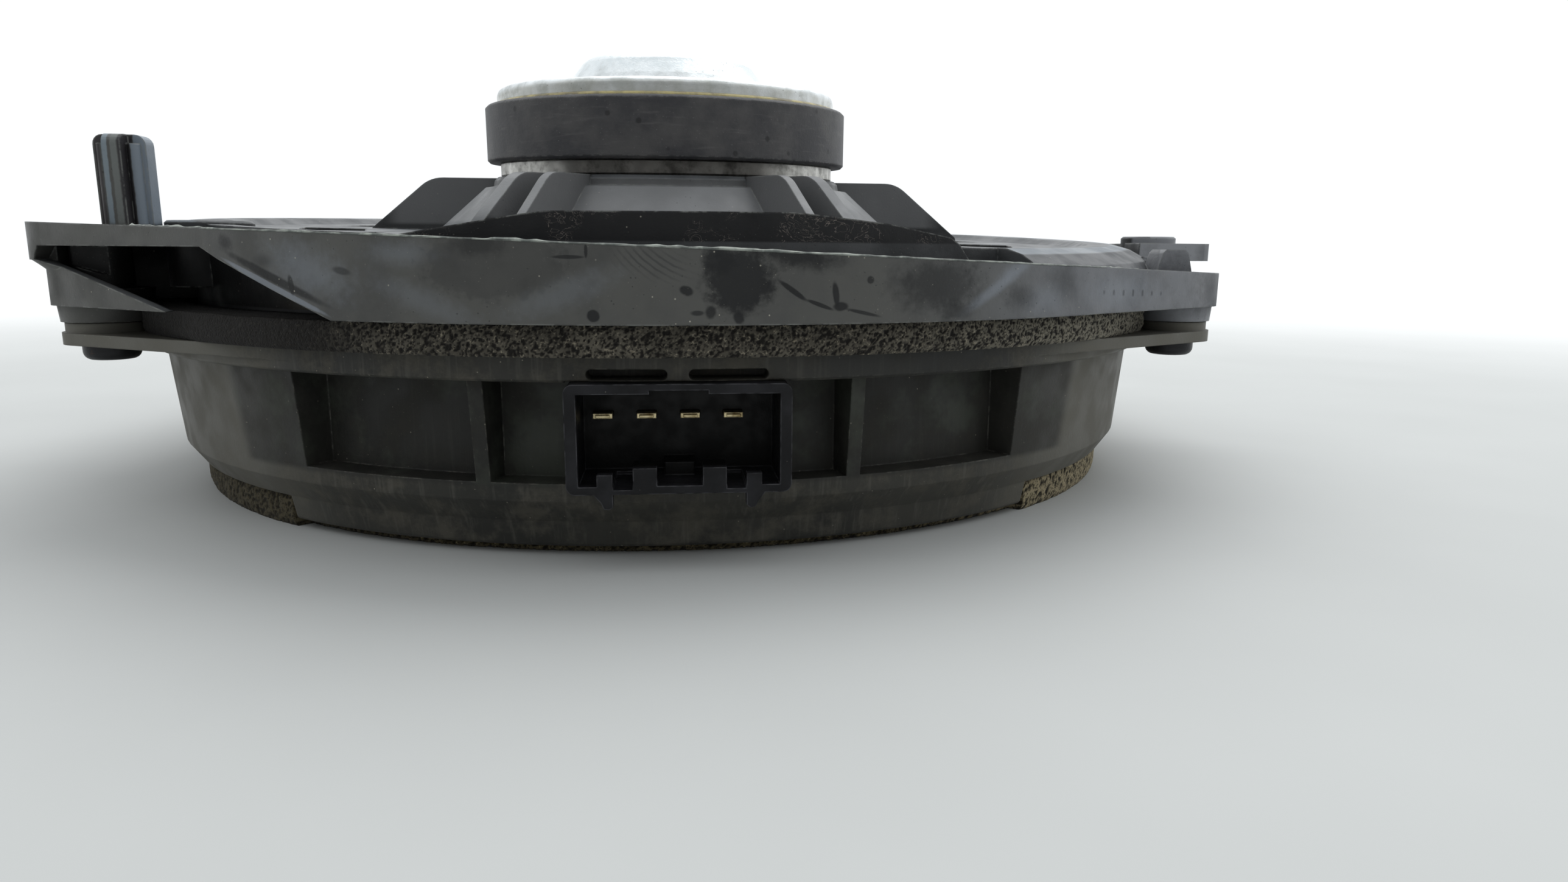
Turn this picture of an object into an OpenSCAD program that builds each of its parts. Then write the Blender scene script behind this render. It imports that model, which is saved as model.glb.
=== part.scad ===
// Car door loudspeaker, stored face down: the foam seal of its front face rests on z = 0,
// the motor points up and the four-way connector points along -Y.
// The basket, the motor and the cone share an axis that leans back from the spacer ring's axis.

/* [Spacer ring] */
// Outer radius of the ring where it meets the lip
ring_top_r = 82.2; // [81:0.1:83.5]
// Outer radius of the ring just above its bottom chamfer
ring_foot_r = 80.9; // [80.2:0.1:82]
// Height of the underside of the lip
lip_z = 21.3; // [20.8:0.1:21.6]
// Radius of the lip
lip_r = 84; // [83.6:0.1:85]
// Height of the top of the lip
lip_top_z = 24.2; // [23.8:0.1:24.5]
// Thickness of the foam seal on the front face
seal_t = 4.4; // [4:0.1:5]
// Depth of the three pockets beside and behind the connector
pocket_depth = 5; // [3:0.5:5.5]

/* [Flange] */
// Radius of the basket's flange
flange_r = 88; // [87:0.5:90]
// Height of the lower edge of the flange skirt
skirt_z = 27.8; // [27:0.1:28.5]
// Distance of the four ears from the ring's axis
ear_r = 89.1; // [87:0.1:91]
// Angle of the front ears away from the connector
ear_az = 58; // [54:1:62]
// Radius of each ear's round end
ear_end_r = 6.2; // [6:0.1:6.8]
// Thickness of the moulded walls
wall = 2.2; // [1.8:0.1:2.6]
// Radius of the holes in the three mounting tabs
tab_hole_r = 1.9; // [1.6:0.1:1.9]

/* [Motor] */
// Lean of the basket and motor axis
lean = 2; // [0:0.5:3]
// Radius of the ferrite magnet
magnet_r = 32.2; // [31.5:0.1:33]
// Radius of the top plate
plate_r = 30; // [29.6:0.1:30.6]
// Radius of the yoke's back plate
yoke_r = 30.1; // [29.5:0.1:30.8]
// Height of the underside of the top plate
plate_z = 48; // [48:0.1:49]
// Thickness of the top plate
plate_t = 2.4; // [2:0.1:3]
// Thickness of the magnet
magnet_t = 9.5; // [8.5:0.1:11]
// Thickness of the yoke's back plate
yoke_t = 2.9; // [2.6:0.1:3.6]
// Height of the bump on the yoke
bump_h = 5.9; // [5.5:0.1:6.5]

/* [Cone and suspension] */
// Outer radius of the paper cone
cone_r = 57; // [55:0.5:57]
// Travel of the cone each way from rest
travel = 4; // [2:0.5:4]
// Radius of the surround's half roll
roll_r = 5.4; // [4:0.1:5.5]
// Inner radius of the coil former
former_r = 12.65; // [12.6:0.05:12.75]

/* [Connector] */
// Width of the housing
housing_w = 24.6; // [24:0.2:25]
// Pitch of the four blade terminals
blade_pitch = 5; // [4.8:0.1:5]
// Width of a blade
blade_w = 2.2; // [2:0.1:2.4]
// Thickness of a blade
blade_t = 0.6; // [0.6:0.1:0.8]

/* [Hidden] */
$fn = 96;

// Derived heights and radii
pivot_z = 55;                          // the leaning axis crosses the ring's axis here
ring_foot_z = 7.2;                     // top of the ring's bottom chamfer
ring_floor_t = 2.2;
ring_mouth_r = 68;                     // sound opening in the ring's floor
lip_hole_r = 75.4;
apron_half_az = 37.7;
apron_z = 1.2;
pocket_z = 9.35;
pocket_top_z = lip_z - 0.1;
pocket_az = 33;
rib_az = 15.3;
rib_half_az = 0.63;
magnet_z = plate_z + plate_t;
yoke_z = magnet_z + magnet_t;
bump_z = yoke_z + yoke_t;
pole_r = former_r - 0.35;
coil_r = former_r + 0.65;
gap_r = coil_r + 0.35;
seat_z = 27.5;                         // seat of the surround in the basket
seat_in_r = 68.2;
surround_out_r = 72.4;
bowl_r = 78;
spider_seat_z = 41.6;
deck_z = 38;
ridge_z = 39.05;
ear_angles = [ear_az, 180 - ear_az, 180 + ear_az, -ear_az];
ear_wall = 1.4;
ear_foot_z = 25.6;                       // the ears reach lower than the skirt
lug_end_r = 5.4;
lug_z = 22.6;
lug_pad_z = 25.5;                       // round pads under the ears
deck_tilt = 1;                          // the deck falls a little towards the right
shoulder_az = [33, 300];                // the slope outside the ridge runs between these angles
tab_angles = [80.2, 180, -80.2];
open_az = [-67.5, -22.5];              // the flange has no ribs behind its window, between these angles
tab_r = 94.4;
tab_end_r = 97.6;
tab_z = 34.1;
tab_t = 3;
blade_mid_x = -0.3;
blade_z = 16.75;
housing_mid_x = 0.9;
housing_front_y = -85.5;
housing_back_y = -74.6;
housing_z = 9.3;
housing_top_z = 21.4;
tail_y = -73.6;
tail_top_z = 37.3;
tag_z = 36.5;
cone_neck_z = 40;
cone_edge_z = 27.2;
cone_t = 0.6;
rivet_place_r = 26.8;
rest_gap = 0.15;                       // between a moving edge and the part that flexes

// A point at angle az from the connector, at radius r
function at(az, r) = [r * sin(az), -r * cos(az)];
function blade_x(i) = blade_mid_x + (i - 2.5) * blade_pitch;
function arc(c, r, a0, a1, n) =
    [for (i = [0:n]) [c[0] + r * cos(a0 + (a1 - a0) * i / n), c[1] + r * sin(a0 + (a1 - a0) * i / n)]];
function flip(points) = [for (i = [len(points) - 1:-1:0]) points[i]];

module leaning() {
    translate([0, 0, pivot_z]) rotate([lean, 0, 0]) translate([0, 0, -pivot_z]) children();
}

// Turns a child drawn along +X so that it points out at angle az
module radial(az) {
    rotate([0, 0, az - 90]) children();
}

// A flat web standing on edge, drawn as a profile of radius and height
module web(az, t, points) {
    radial(az) rotate([90, 0, 0]) linear_extrude(height = t, center = true) polygon(points);
}

// A piece of ring between two angles, from its profile
module ring_piece(az0, az1, points) {
    radial(az0) rotate_extrude(angle = az1 - az0) polygon(points);
}

function box_profile(r0, r1, z0, z1) = [[r0, z0], [r1, z0], [r1, z1], [r0, z1]];

// Plan outline of one tapering ear that ends in a circle, with the wedge of plate behind it
module ear_outline(az, r, end_r) {
    spread = acos((r - end_r) / ear_r);
    c = at(az, ear_r);
    polygon([
        [0, 0],
        at(az - spread, r - 0.3), c + at(az - spread, end_r - 0.05),
        c + at(az + spread, end_r - 0.05), at(az + spread, r - 0.3)
    ]);
    translate(c) circle(r = end_r);
}

// Plan outline of a round plate with its four ears
module eared_outline(r, end_r) {
    circle(r = r, $fn = 180);
    for (az = ear_angles) ear_outline(az, r, end_r);
}

// Everything under the flange's sloping top plane, lowered by drop
module under_flange_top(drop = 0) {
    rotate([-0.516, 2.06, 0]) translate([-150, -150, -100]) cube([300, 300, 135.06 - drop]);
}

// ---- spacer ring, seals and connector ----

module spacer_ring() color([0.2, 0.2, 0.19]) {
    outer_wall = [
        [ring_mouth_r, seal_t], [79, seal_t], [ring_foot_r, ring_foot_z],
        [ring_top_r, lip_z], [lip_r - 0.3, lip_z], [lip_r, lip_z + 0.3],
        [lip_r, lip_top_z], [lip_hole_r, lip_top_z], [lip_hole_r, lip_z + 0.3],
        [ring_top_r - wall - 0.4, lip_z - 1], [ring_foot_r - wall, ring_foot_z + 0.4],
        [ring_foot_r - wall - 1, seal_t + ring_floor_t], [ring_mouth_r, seal_t + ring_floor_t]
    ];
    back_r = ring_top_r - pocket_depth;
    difference() {
        union() {
            rotate_extrude($fn = 180) polygon(outer_wall);
            ring_piece(-apron_half_az, apron_half_az,
                [[76.9, apron_z + 0.3], [77.2, apron_z], [78.1, apron_z], [78.4, apron_z + 0.3],
                 [79, seal_t], [79, seal_t + 0.5], [76.9, seal_t + 0.5]]);
            ring_piece(-pocket_az - 2.5, pocket_az + 2.5,
                [[lip_hole_r, 5], [ring_foot_r - 1.5, 5], [ring_foot_r - 0.2, ring_foot_z + 0.1],
                 [ring_top_r - 0.2, lip_z - 0.1], [ring_top_r - 0.2, lip_z + 1], [lip_hole_r, lip_z + 1]]);
            for (az = ear_angles) lug(az);
            for (az = [60:24:300]) web(az, 1.6, [[69, 5], [79, 5], [79.5, 13], [78.5, 13], [69, 7]]);
        }
        for (span = [[-pocket_az, -rib_az - rib_half_az], [-rib_az + rib_half_az, rib_az - rib_half_az],
                     [rib_az + rib_half_az, pocket_az]])
            ring_piece(span[0], span[1], box_profile(back_r, 90, pocket_z, pocket_top_z));
        translate([housing_mid_x - housing_w / 2 - 0.05, -95, housing_z - 0.05])
            cube([housing_w + 0.1, 30, housing_top_z - housing_z + 0.1]);
        for (x = [-9.1, 2.0]) lip_slot(x, 8.8);
        for (az = ear_angles) translate(concat(at(az, ear_r), 0)) cylinder(r = 1.9, h = 40, $fn = 48);
    }
}

// A shallow round-ended slot in the lip above the connector
module lip_slot(x, w) {
    for (dx = [0.6, w - 0.6]) translate([x + dx, -90, lip_z + 0.9]) rotate([-90, 0, 0])
        cylinder(r = 0.6, h = 10.5, $fn = 32);
    translate([x + 0.6, -90, lip_z + 0.3]) cube([w - 1.2, 10.5, 1.2]);
}

module lug(az) {
    spread = acos((lip_r - lug_end_r) / ear_r);
    c = at(az, ear_r);
    intersection() {
        union() {
            translate([0, 0, lug_z]) linear_extrude(height = lip_top_z - lug_z) {
                polygon([at(az, 78), at(az - spread, lip_r - 1), at(az - spread, lip_r),
                         c + at(az - spread, lug_end_r), c + at(az + spread, lug_end_r),
                         at(az + spread, lip_r), at(az + spread, lip_r - 1)]);
                translate(c) circle(r = lug_end_r);
            }
            translate(concat(c, lip_top_z - 1)) cylinder(r = lug_end_r - 0.4, h = lug_pad_z - lip_top_z + 1);
        }
        difference() {
            cylinder(r = 110, h = 60);
            translate([0, 0, -1]) cylinder(r = lip_r - 3, h = 62, $fn = 180);
        }
    }
}

module front_seal() color([0.3, 0.27, 0.18]) difference() {
    rotate_extrude($fn = 180) polygon(box_profile(ring_mouth_r + 1, 78.5, 0, seal_t));
    ring_piece(-apron_half_az - 0.4, apron_half_az + 0.4, box_profile(76.7, 80, -1, seal_t + 1));
}

module flange_gasket() color([0.2, 0.19, 0.17]) difference() {
    rotate_extrude($fn = 180) polygon(box_profile(79.4, 86.3, lip_top_z, skirt_z));
    for (az = ear_angles) translate(concat(at(az, ear_r), 20)) cylinder(r = ear_end_r + 0.8, h = 20);
}

module connector_housing() color([0.1, 0.1, 0.11]) {
    left = housing_mid_x - housing_w / 2;
    in_left = -10.1;
    in_w = 22;
    depth = housing_back_y - housing_front_y;
    difference() {
        rounded_block(left, housing_front_y, housing_z, housing_w, depth, housing_top_z - housing_z, 1);
        translate([in_left, housing_front_y - 1, 10.2]) cube([in_w, depth - 0.6, 10.1]);
        translate([housing_mid_x - 3.2, housing_front_y - 1, 20]) cube([6.4, depth - 2, 0.7]);
        for (x = [-6.35, 6.05]) translate([x, housing_front_y - 1, 9.8]) cube([2.1, depth - 2, 1]);
        for (i = [1:4])
            translate([blade_x(i) - blade_w / 2 - 0.02, -80, blade_z - blade_t / 2 - 0.02])
                cube([blade_w + 0.04, 10, blade_t + 0.04]);
    }
    for (side = [-1, 1]) translate([housing_mid_x, 0, 0]) mirror([side > 0 ? 0 : 1, 0, 0]) keyway();
    translate([housing_mid_x - 1.7, -80, 10.1]) cube([3.4, 3.9, 1.6]);
}

// One half of the coding blocks on the socket floor, with its hooked leg
module keyway() {
    front = [housing_front_y, 4];
    translate([0, front[0], 0]) rotate([90, 0, 0]) mirror([0, 0, 1]) linear_extrude(height = front[1])
        polygon([[2.5, 10.1], [5.1, 10.1], [5.1, 12.2], [2.5, 12.2]]);
    translate([0, front[0], 0]) rotate([90, 0, 0]) mirror([0, 0, 1]) linear_extrude(height = 1.6)
        polygon([[7.3, 7.9], [7.7, 7.6], [8.3, 7.7], [8.6, 8.4], [9.3, 9.2], [9.3, 9.6], [9, 10.1],
                 [9, 11.5], [7.3, 11.5]]);
}

// A block with its four long edges rounded, along Y
module rounded_block(x, y, z, w, d, h, r) {
    translate([x + r, y, z]) cube([w - 2 * r, d, h]);
    translate([x, y, z + r]) cube([w, d, h - 2 * r]);
    for (dx = [r, w - r]) for (dz = [r, h - r])
        translate([x + dx, y, z + dz]) rotate([-90, 0, 0]) cylinder(r = r, h = d, $fn = 48);
}

// Blade in the socket, with a tail that rises through the flange to the tag board
module terminal(i) color([0.78, 0.6, 0.28]) {
    tip = 0.5;
    translate([blade_x(i), 0, 0]) {
        translate([-blade_w / 2, -78, blade_z - blade_t / 2]) cube([blade_w, 78 + tail_y + blade_t / 2, blade_t]);
        translate([0, -78, blade_z]) rotate([90, 0, 0]) linear_extrude(height = tip)
            square([blade_w - 0.6, blade_t / 2], center = true);
        translate([-0.6, tail_y - blade_t / 2, blade_z - blade_t / 2])
            cube([1.2, blade_t, tail_top_z - blade_z + blade_t / 2]);
    }
}

// ---- basket ----

module basket() color([0.16, 0.17, 0.19]) difference() {
    union() {
        difference() {
            flange_shell();
            leaning() translate([0, 0, 10]) cylinder(r = bowl_r - 1, h = 60, $fn = 180);
            ear_window();
        }
        leaning() bowl();
        leaning() for (side = [-1, 1]) {
            for (az = [32, 90, 148]) fin(side * az, wall);
            for (az = [24.4, 155.6]) fin(side * az, 1.4);
        }
        hood();
        for (az = tab_angles) tab(az);
        locating_post();
        wedge_clip();
        disc_boss(-64, -41, 5.6, 30, 39);
        disc_boss(86.2, -16, 4.7, 33, 38.3);
        disc_boss(-64, 41, 5.6, 30, 38.4);
    }
    for (az = ear_angles) translate(concat(at(az, ear_r), 20)) cylinder(r = 1.75, h = 11.5, $fn = 48);
    for (az = tab_angles) translate(concat(at(az, tab_r), 20)) cylinder(r = tab_hole_r, h = 30, $fn = 48);
    leaning() for (az = [0, 52, 74, 106, 128, 180, -128, -106, -74, -52])
        ring_piece(az - 8, az + 8, box_profile(53, 63, 34, 40));
    leaning() at_rivets() translate([0, 0, 44]) cylinder(r = 1.6, h = 6, $fn = 48);
    translate([-12.55, -74.65, tag_z - 1]) cube([25.1, 7.5, 8]);
    for (i = [1:4]) translate([blade_x(i) - 0.8, tail_y - 0.6, 20]) cube([1.6, 1.2, 25]);
    for (x = [-10.6, 10]) translate([x, -70.4, 30]) cylinder(r = 0.9, h = 10, $fn = 32);
}

// Flange with its skirt, hollow below, with moulded ribs and four screw bosses
module flange_shell() {
    difference() {
        union() {
            intersection() {
                union() {
                    translate([0, 0, skirt_z]) linear_extrude(height = 20) eared_outline(flange_r, ear_end_r);
                    for (az = [-ear_az, 180 + ear_az]) ear_rim(az);
                }
                under_flange_top();
            }
            shoulder();
        }
        shoulder_hollow();
        intersection() {
            translate([0, 0, skirt_z - 1]) linear_extrude(height = 20)
                eared_outline(flange_r - wall, ear_end_r - ear_wall);
            under_flange_top(wall);
        }
    }
    intersection() {
        union() {
            ring_piece(open_az[1], 360 + open_az[0], box_profile(81.6, 83, skirt_z, 45));
            for (az = [-22.5:15:292.5]) web(az, 1.4, box_profile(76, 87, skirt_z, 45));
            for (az = ear_angles) translate(concat(at(az, ear_r), ear_foot_z)) cylinder(r = 3.6, h = 20);
        }
        under_flange_top(1);
    }
    for (az = ear_angles) translate(concat(at(az, ear_r), ear_foot_z)) difference() {
        cylinder(r1 = ear_end_r - 0.8, r2 = ear_end_r - 0.4, h = 4.4);
        translate([0, 0, -1]) cylinder(r = ear_end_r - 1.7, h = 6.4);
    }
}

// Slope from the ridge of the deck down to the flange, hollow below
module shoulder() {
    difference() {
        intersection() {
            leaning() under_deck_top();
            ring_piece(shoulder_az[0], shoulder_az[1], box_profile(74, 90, 30, 50));
        }
        under_flange_top(1);
    }
}

module shoulder_hollow() {
    intersection() {
        leaning() rotate([0, deck_tilt, 0]) rotate_extrude($fn = 180)
            polygon([[79.3, 28], [79.3, 36.9], [81, 36.7], [83, 35.5], [84.5, 33.4], [84.5, 28]]);
        ring_piece(shoulder_az[0] + 1.5, shoulder_az[1] - 1.5, box_profile(74, 90, 20, 50));
    }
}

// Everything under the deck, its raised ridge and the slope outside it
module under_deck_top() {
    rotate([0, deck_tilt, 0]) rotate_extrude($fn = 180) polygon([
        [0, 20], [86.6, 20], [86.6, 33], [86.2, 34.4], [84.2, 37], [81.6, 38.4], [79, ridge_z],
        [75, ridge_z - 0.1], [74, deck_z + 0.4], [73, deck_z], [0, deck_z]
    ]);
}

// Overhanging rim round the top of an ear on the flange's high side, chamfered below its round end
module ear_rim(az) {
    rim_r = 7.8;
    rim_z = 33.7;
    chamfer = 1.3;
    translate([0, 0, rim_z]) linear_extrude(height = 10) ear_outline(az, flange_r, rim_r);
    translate(concat(at(az, ear_r), rim_z - chamfer)) cylinder(r1 = ear_end_r - 0.1, r2 = rim_r - 0.05, h = chamfer + 0.1);
}

// Open window in the skirt beside the left ear, with slanting ends
module ear_window() {
    translate([0, -50, 0]) rotate([90, 0, 0]) linear_extrude(height = 60)
        polygon([[-79.6, 35.5], [-53, 35.5], [-50.5, 34.2], [-35.6, 27.6], [-35.6, 20], [-57.8, 20],
                 [-57.8, 27.3], [-80.6, 33.8]]);
}

// Spider housing, deck, raised ridge and the seat of the surround
module bowl() {
    rotate_extrude($fn = 180) polygon([
        [24, plate_z - 2.2], [24, plate_z], [30.6, plate_z], [31.2, plate_z - 0.6], [31.4, plate_z - 1.6],
        [32.8, plate_z - 1.8], [39.8, 40], [41.2, 38.8], [43.8, 37.4], [43.8, 36.3], [42, 36.3],
        [40.5, 37], [36.8, 40], [35.9, 40.9], [35.9, spider_seat_z], [33.2, spider_seat_z], [33.2, 43.2],
        [30.6, 44.6], [29, plate_z - 2.2]
    ]);
    intersection() {
        rotate_extrude($fn = 180) polygon([
            [41.5, 45], [bowl_r, 45], [bowl_r, seat_z], [seat_in_r, seat_z], [seat_in_r, seat_z + 1.8],
            [74.4, seat_z + 2.6], [75.6, seat_z + 4], [75.6, deck_z - 3.4], [74.2, deck_z - wall],
            [45, deck_z - wall], [41.5, deck_z - wall]
        ]);
        under_deck_top();
    }
}

// Stiffening fin that runs from the top plate down to the deck
module fin(az, t) {
    top_r = 6;
    web(az, t, concat(
        [[33.5, 45], [30.8, plate_z - 1.5], [30.8, plate_z]],
        flip(arc([40.5, plate_z - top_r], top_r, 50, 90, 6)),
        [[54.6, deck_z + 0.1], [55.2, deck_z - 1.6], [42, deck_z - 1.6]]
    ));
}

// Raised hood that shelters the tag board
module hood() {
    intersection() {
        ring_piece(-30, 30, box_profile(76, 78.2, 33, 42));
        translate([0, -60, 0]) rotate([90, 0, 0]) linear_extrude(height = 30)
            polygon([[-36, 33], [-35, 36.4], [-16, 39.4], [-13.4, 39.7], [14, 39.8], [17, 39.6], [26, 38.7],
                     [34.5, 37.2], [35.8, 36.4], [38.5, 33]]);
    }
}

// Tapering mounting tab
module tab(az) {
    translate([0, 0, tab_z]) linear_extrude(height = tab_t)
        polygon([at(az - 8, 84), at(az - 5.4, 90), at(az - 3, tab_end_r - 1), at(az - 2.4, tab_end_r),
                 at(az + 2.4, tab_end_r), at(az + 3, tab_end_r - 1), at(az + 5.4, 90), at(az + 8, 84)]);
    web(az, wall, [[86, skirt_z], [88.6, skirt_z], [90, tab_z + 0.5], [86, tab_z + 0.5]]);
}

// Fluted post that finds its hole in the door
module locating_post() {
    top_z = 50;
    post_w = 6.6;
    translate([-72.3, -45, 0]) {
        for (turn = [0, 90]) rotate([0, 0, turn]) rotate([90, 0, 0]) linear_extrude(height = 2.3, center = true)
            polygon(concat([[-post_w / 2, 36], [post_w / 2, 36]],
                arc([post_w / 2 - 1.3, top_z - 1.3], 1.3, 0, 90, 5),
                arc([-post_w / 2 + 1.3, top_z - 1.3], 1.3, 90, 180, 5)));
        for (x = [-1.9, 1.9]) for (y = [-1.3, 1.3]) translate([x, y, 36]) cylinder(r = 0.8, h = top_z - 37.2, $fn = 24);
    }
}

// Wedge on the right ear
module wedge_clip() {
    translate([75, -43.6, 0]) rotate([90, 0, 0]) linear_extrude(height = 4.6)
        polygon([[-3.05, 31.5], [3.05, 31.5], [2.1, 35.4], [1.6, 36], [-1.4, 36], [-1.9, 35.5]]);
    translate([74.4, -44.4, 31.5]) cube([1.4, 6, 3.4]);
}

module disc_boss(x, y, r, z0, z1) {
    translate([x, y, z0]) cylinder(r = r, h = z1 - z0 - 0.3);
    translate([x, y, z1 - 0.31]) cylinder(r1 = r, r2 = r - 0.35, h = 0.31);
}

// Pan-head screws from below, through the lugs and into the ears
module joining_screws() color([0.12, 0.12, 0.13]) for (az = ear_angles) {
    translate(concat(at(az, ear_r), 0)) difference() {
        rotate_extrude($fn = 64) polygon(concat(
            [[0, lug_z - 2.2]], arc([2.3, lug_z - 1.1], 1.1, -90, 0, 5), [[3.4, lug_z]],
            [[1.72, lug_z], [1.72, 30.6], [1, 31.3], [0, 31.3]]));
        for (turn = [0, 60, 120]) rotate([0, 0, turn]) translate([-1.6, -0.35, lug_z - 3]) cube([3.2, 0.7, 1.6]);
    }
}

// ---- motor ----

module top_plate() color([0.6, 0.59, 0.57]) leaning() difference() {
    rotate_extrude($fn = 180) polygon([
        [gap_r, plate_z], [plate_r - 0.3, plate_z], [plate_r, plate_z + 0.3], [plate_r, magnet_z - 0.2],
        [plate_r - 0.2, magnet_z], [gap_r, magnet_z]]);
    at_rivets() translate([0, 0, 44]) cylinder(r = 1.6, h = 10, $fn = 48);
}

// Repeats its child at each of the four rivets
module at_rivets() {
    for (i = [0:3]) rotate([0, 0, 45 + 90 * i]) translate([rivet_place_r, 0, 0]) children();
}

// Rivets that hold the top plate on the basket's landing
module landing_rivets() color([0.7, 0.7, 0.7]) leaning() at_rivets() rotate_extrude($fn = 48) {
    head_z = plate_z - 2.2;
    polygon([[0, head_z - 0.8], [1.6, head_z - 0.8], [2.1, head_z - 0.4], [2.2, head_z],
             [1.55, head_z], [1.55, magnet_z], [0, magnet_z]]);
}

module magnet() color([0.25, 0.25, 0.26]) leaning() rotate_extrude($fn = 180) polygon([
    [17, magnet_z], [magnet_r - 0.4, magnet_z], [magnet_r, magnet_z + 0.4],
    [magnet_r, yoke_z - 0.4], [magnet_r - 0.4, yoke_z], [17, yoke_z]]);

// Back plate, pole piece and the bump that leaves room for the coil
module yoke() color([0.8, 0.81, 0.82]) leaning() {
    edge = 1.2;
    rotate_extrude($fn = 180) polygon(concat(
        [[0, plate_z - 0.4], [pole_r - 0.5, plate_z - 0.4], [pole_r, plate_z + 0.1], [pole_r, yoke_z + 4],
         [14.6, yoke_z + 4], [15.4, yoke_z + 2.4], [15.4, yoke_z], [yoke_r, yoke_z]],
        arc([yoke_r - edge, bump_z - edge], edge, 0, 90, 5),
        [[18.6, bump_z], [17.2, bump_z + 2.2]],
        arc([12.7, bump_z + bump_h - 3.4], 3.4, 30, 90, 5),
        [[0, bump_z + bump_h]]));
}

// Adhesive squeezed out between the magnet and the yoke
module glue_bead() color([0.75, 0.66, 0.36]) leaning() rotate_extrude($fn = 180)
    polygon(concat([[yoke_r, yoke_z]], arc([yoke_r, yoke_z], 0.6, 0, 90, 5)));

// ---- cone and suspension ----

module surround_ring() color([0.2, 0.18, 0.16]) leaning() rotate_extrude($fn = 180)
    polygon(box_profile(seat_in_r, surround_out_r, seat_z - 2.6, seat_z - 0.6));

// Rubber half roll that bulges towards the front, with a flat band on each side
module surround() color([0.1, 0.1, 0.1]) leaning() {
    t = 0.5;
    mid = [seat_in_r - roll_r - 0.1, seat_z - 0.6];
    edge_r = cone_r + rest_gap;
    rotate_extrude($fn = 180) polygon(concat(
        [[edge_r, mid[1]]], arc(mid, roll_r, -180, 0, 16), [[surround_out_r, mid[1]], [surround_out_r, seat_z]],
        [[mid[0] + roll_r - t, seat_z]], flip(arc(mid, roll_r - t, -180, 0, 16)),
        [[mid[0] - roll_r + t, seat_z], [edge_r, seat_z]]));
}

// Corrugated cloth disc
module spider() color([0.75, 0.62, 0.35]) leaning() {
    t = 0.5;
    r0 = former_r + 0.2 + rest_gap;
    r1 = 35.5;
    flat_r = 33;
    z = spider_seat_z - t - 0.05;
    amp = 0.75;
    steps = 60;
    wave = [for (i = [0:steps]) let (r = r0 + 1.2 + (flat_r - r0 - 1.2) * i / steps)
        [r, z - amp * sin(i * 360 * 5 / steps)]];
    rotate_extrude($fn = 120) polygon(concat(
        [[r0, z]], wave, [[r1, z]], [[r1, z + t]], [for (p = flip(wave)) [p[0], p[1] + t]], [[r0, z + t]]));
}

// The cone's back face as a gently curved line from neck to edge
function cone_line(r) = let (u = (r - former_r - 0.3) / (cone_r - former_r - 0.3))
    cone_neck_z + (cone_edge_z - cone_neck_z) * u - 1.4 * u * (1 - u);

module cone() color([0.09, 0.09, 0.1]) leaning() {
    steps = 14;
    back = [for (i = [0:steps]) let (r = former_r + 0.25 + (cone_r - former_r - 0.25) * i / steps)
        [r, cone_line(r)]];
    rotate_extrude($fn = 180) polygon(concat(back, [for (p = flip(back)) [p[0], p[1] - cone_t]]));
}

module dust_cap() color([0.08, 0.08, 0.08]) leaning() {
    cap_r = 17.5;
    dome_r = 24;
    z = cone_line(cap_r) - cone_t - 0.05;
    rise = dome_r - sqrt(dome_r * dome_r - cap_r * cap_r);
    top = asin(cap_r / dome_r);
    centre = [0, z - rise + dome_r];
    rotate_extrude($fn = 120) polygon(concat(
        arc(centre, dome_r, -90, -90 + top, 10), flip(arc(centre, dome_r - 0.5, -90, -90 + top - 1.2, 10))));
}

module coil_former() color([0.7, 0.55, 0.3]) leaning() rotate_extrude($fn = 120)
    polygon(box_profile(former_r, former_r + 0.2, cone_neck_z - 1.6, plate_z + 6));

module voice_coil() color([0.72, 0.4, 0.2]) leaning() rotate_extrude($fn = 120)
    polygon(box_profile(former_r + 0.2, coil_r, plate_z - 3.9, plate_z + 6));

// ---- wiring ----

module tag_board() color([0.5, 0.33, 0.18]) difference() {
    translate([-12.5, -74.6, tag_z - 1]) cube([25, 7.4, 1]);
    for (i = [1:4]) translate([blade_x(i) - 0.7, tail_y - 0.5, 30]) cube([1.4, 1, 10]);
    for (x = [-10.6, 10]) translate([x, -70.4, 30]) cylinder(r = 0.9, h = 10, $fn = 32);
}

// One tag joins two terminals: the feed and the loop to a second speaker
module solder_tag(side) color([0.8, 0.76, 0.62]) {
    mid = blade_mid_x + side * blade_pitch;
    difference() {
        union() {
            translate([mid - 3.8, -74.4, tag_z]) cube([7.6, 2.4, 0.5]);
            translate([mid - 1.2, -72.1, tag_z]) cube([2.4, 6.2, 0.5]);
            translate([side > 0 ? mid : -12.1, -71.6, tag_z]) cube([side > 0 ? 11.6 - mid : 12.1 + mid, 2.4, 0.5]);
        }
        for (i = [1:4]) translate([blade_x(i) - 0.65, tail_y - 0.45, 30]) cube([1.3, 0.9, 10]);
        for (x = [-10.6, 10]) translate([x, -70.4, 30]) cylinder(r = 0.9, h = 10, $fn = 32);
    }
}

module tag_rivets() color([0.8, 0.78, 0.7]) for (x = [-10.6, 10]) translate([x, -70.4, 0])
    rotate_extrude($fn = 48) polygon([[0, 33], [0.86, 33], [0.86, tag_z + 0.5], [1.6, tag_z + 0.5],
                                      [1.4, tag_z + 1], [0, tag_z + 1]]);

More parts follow.
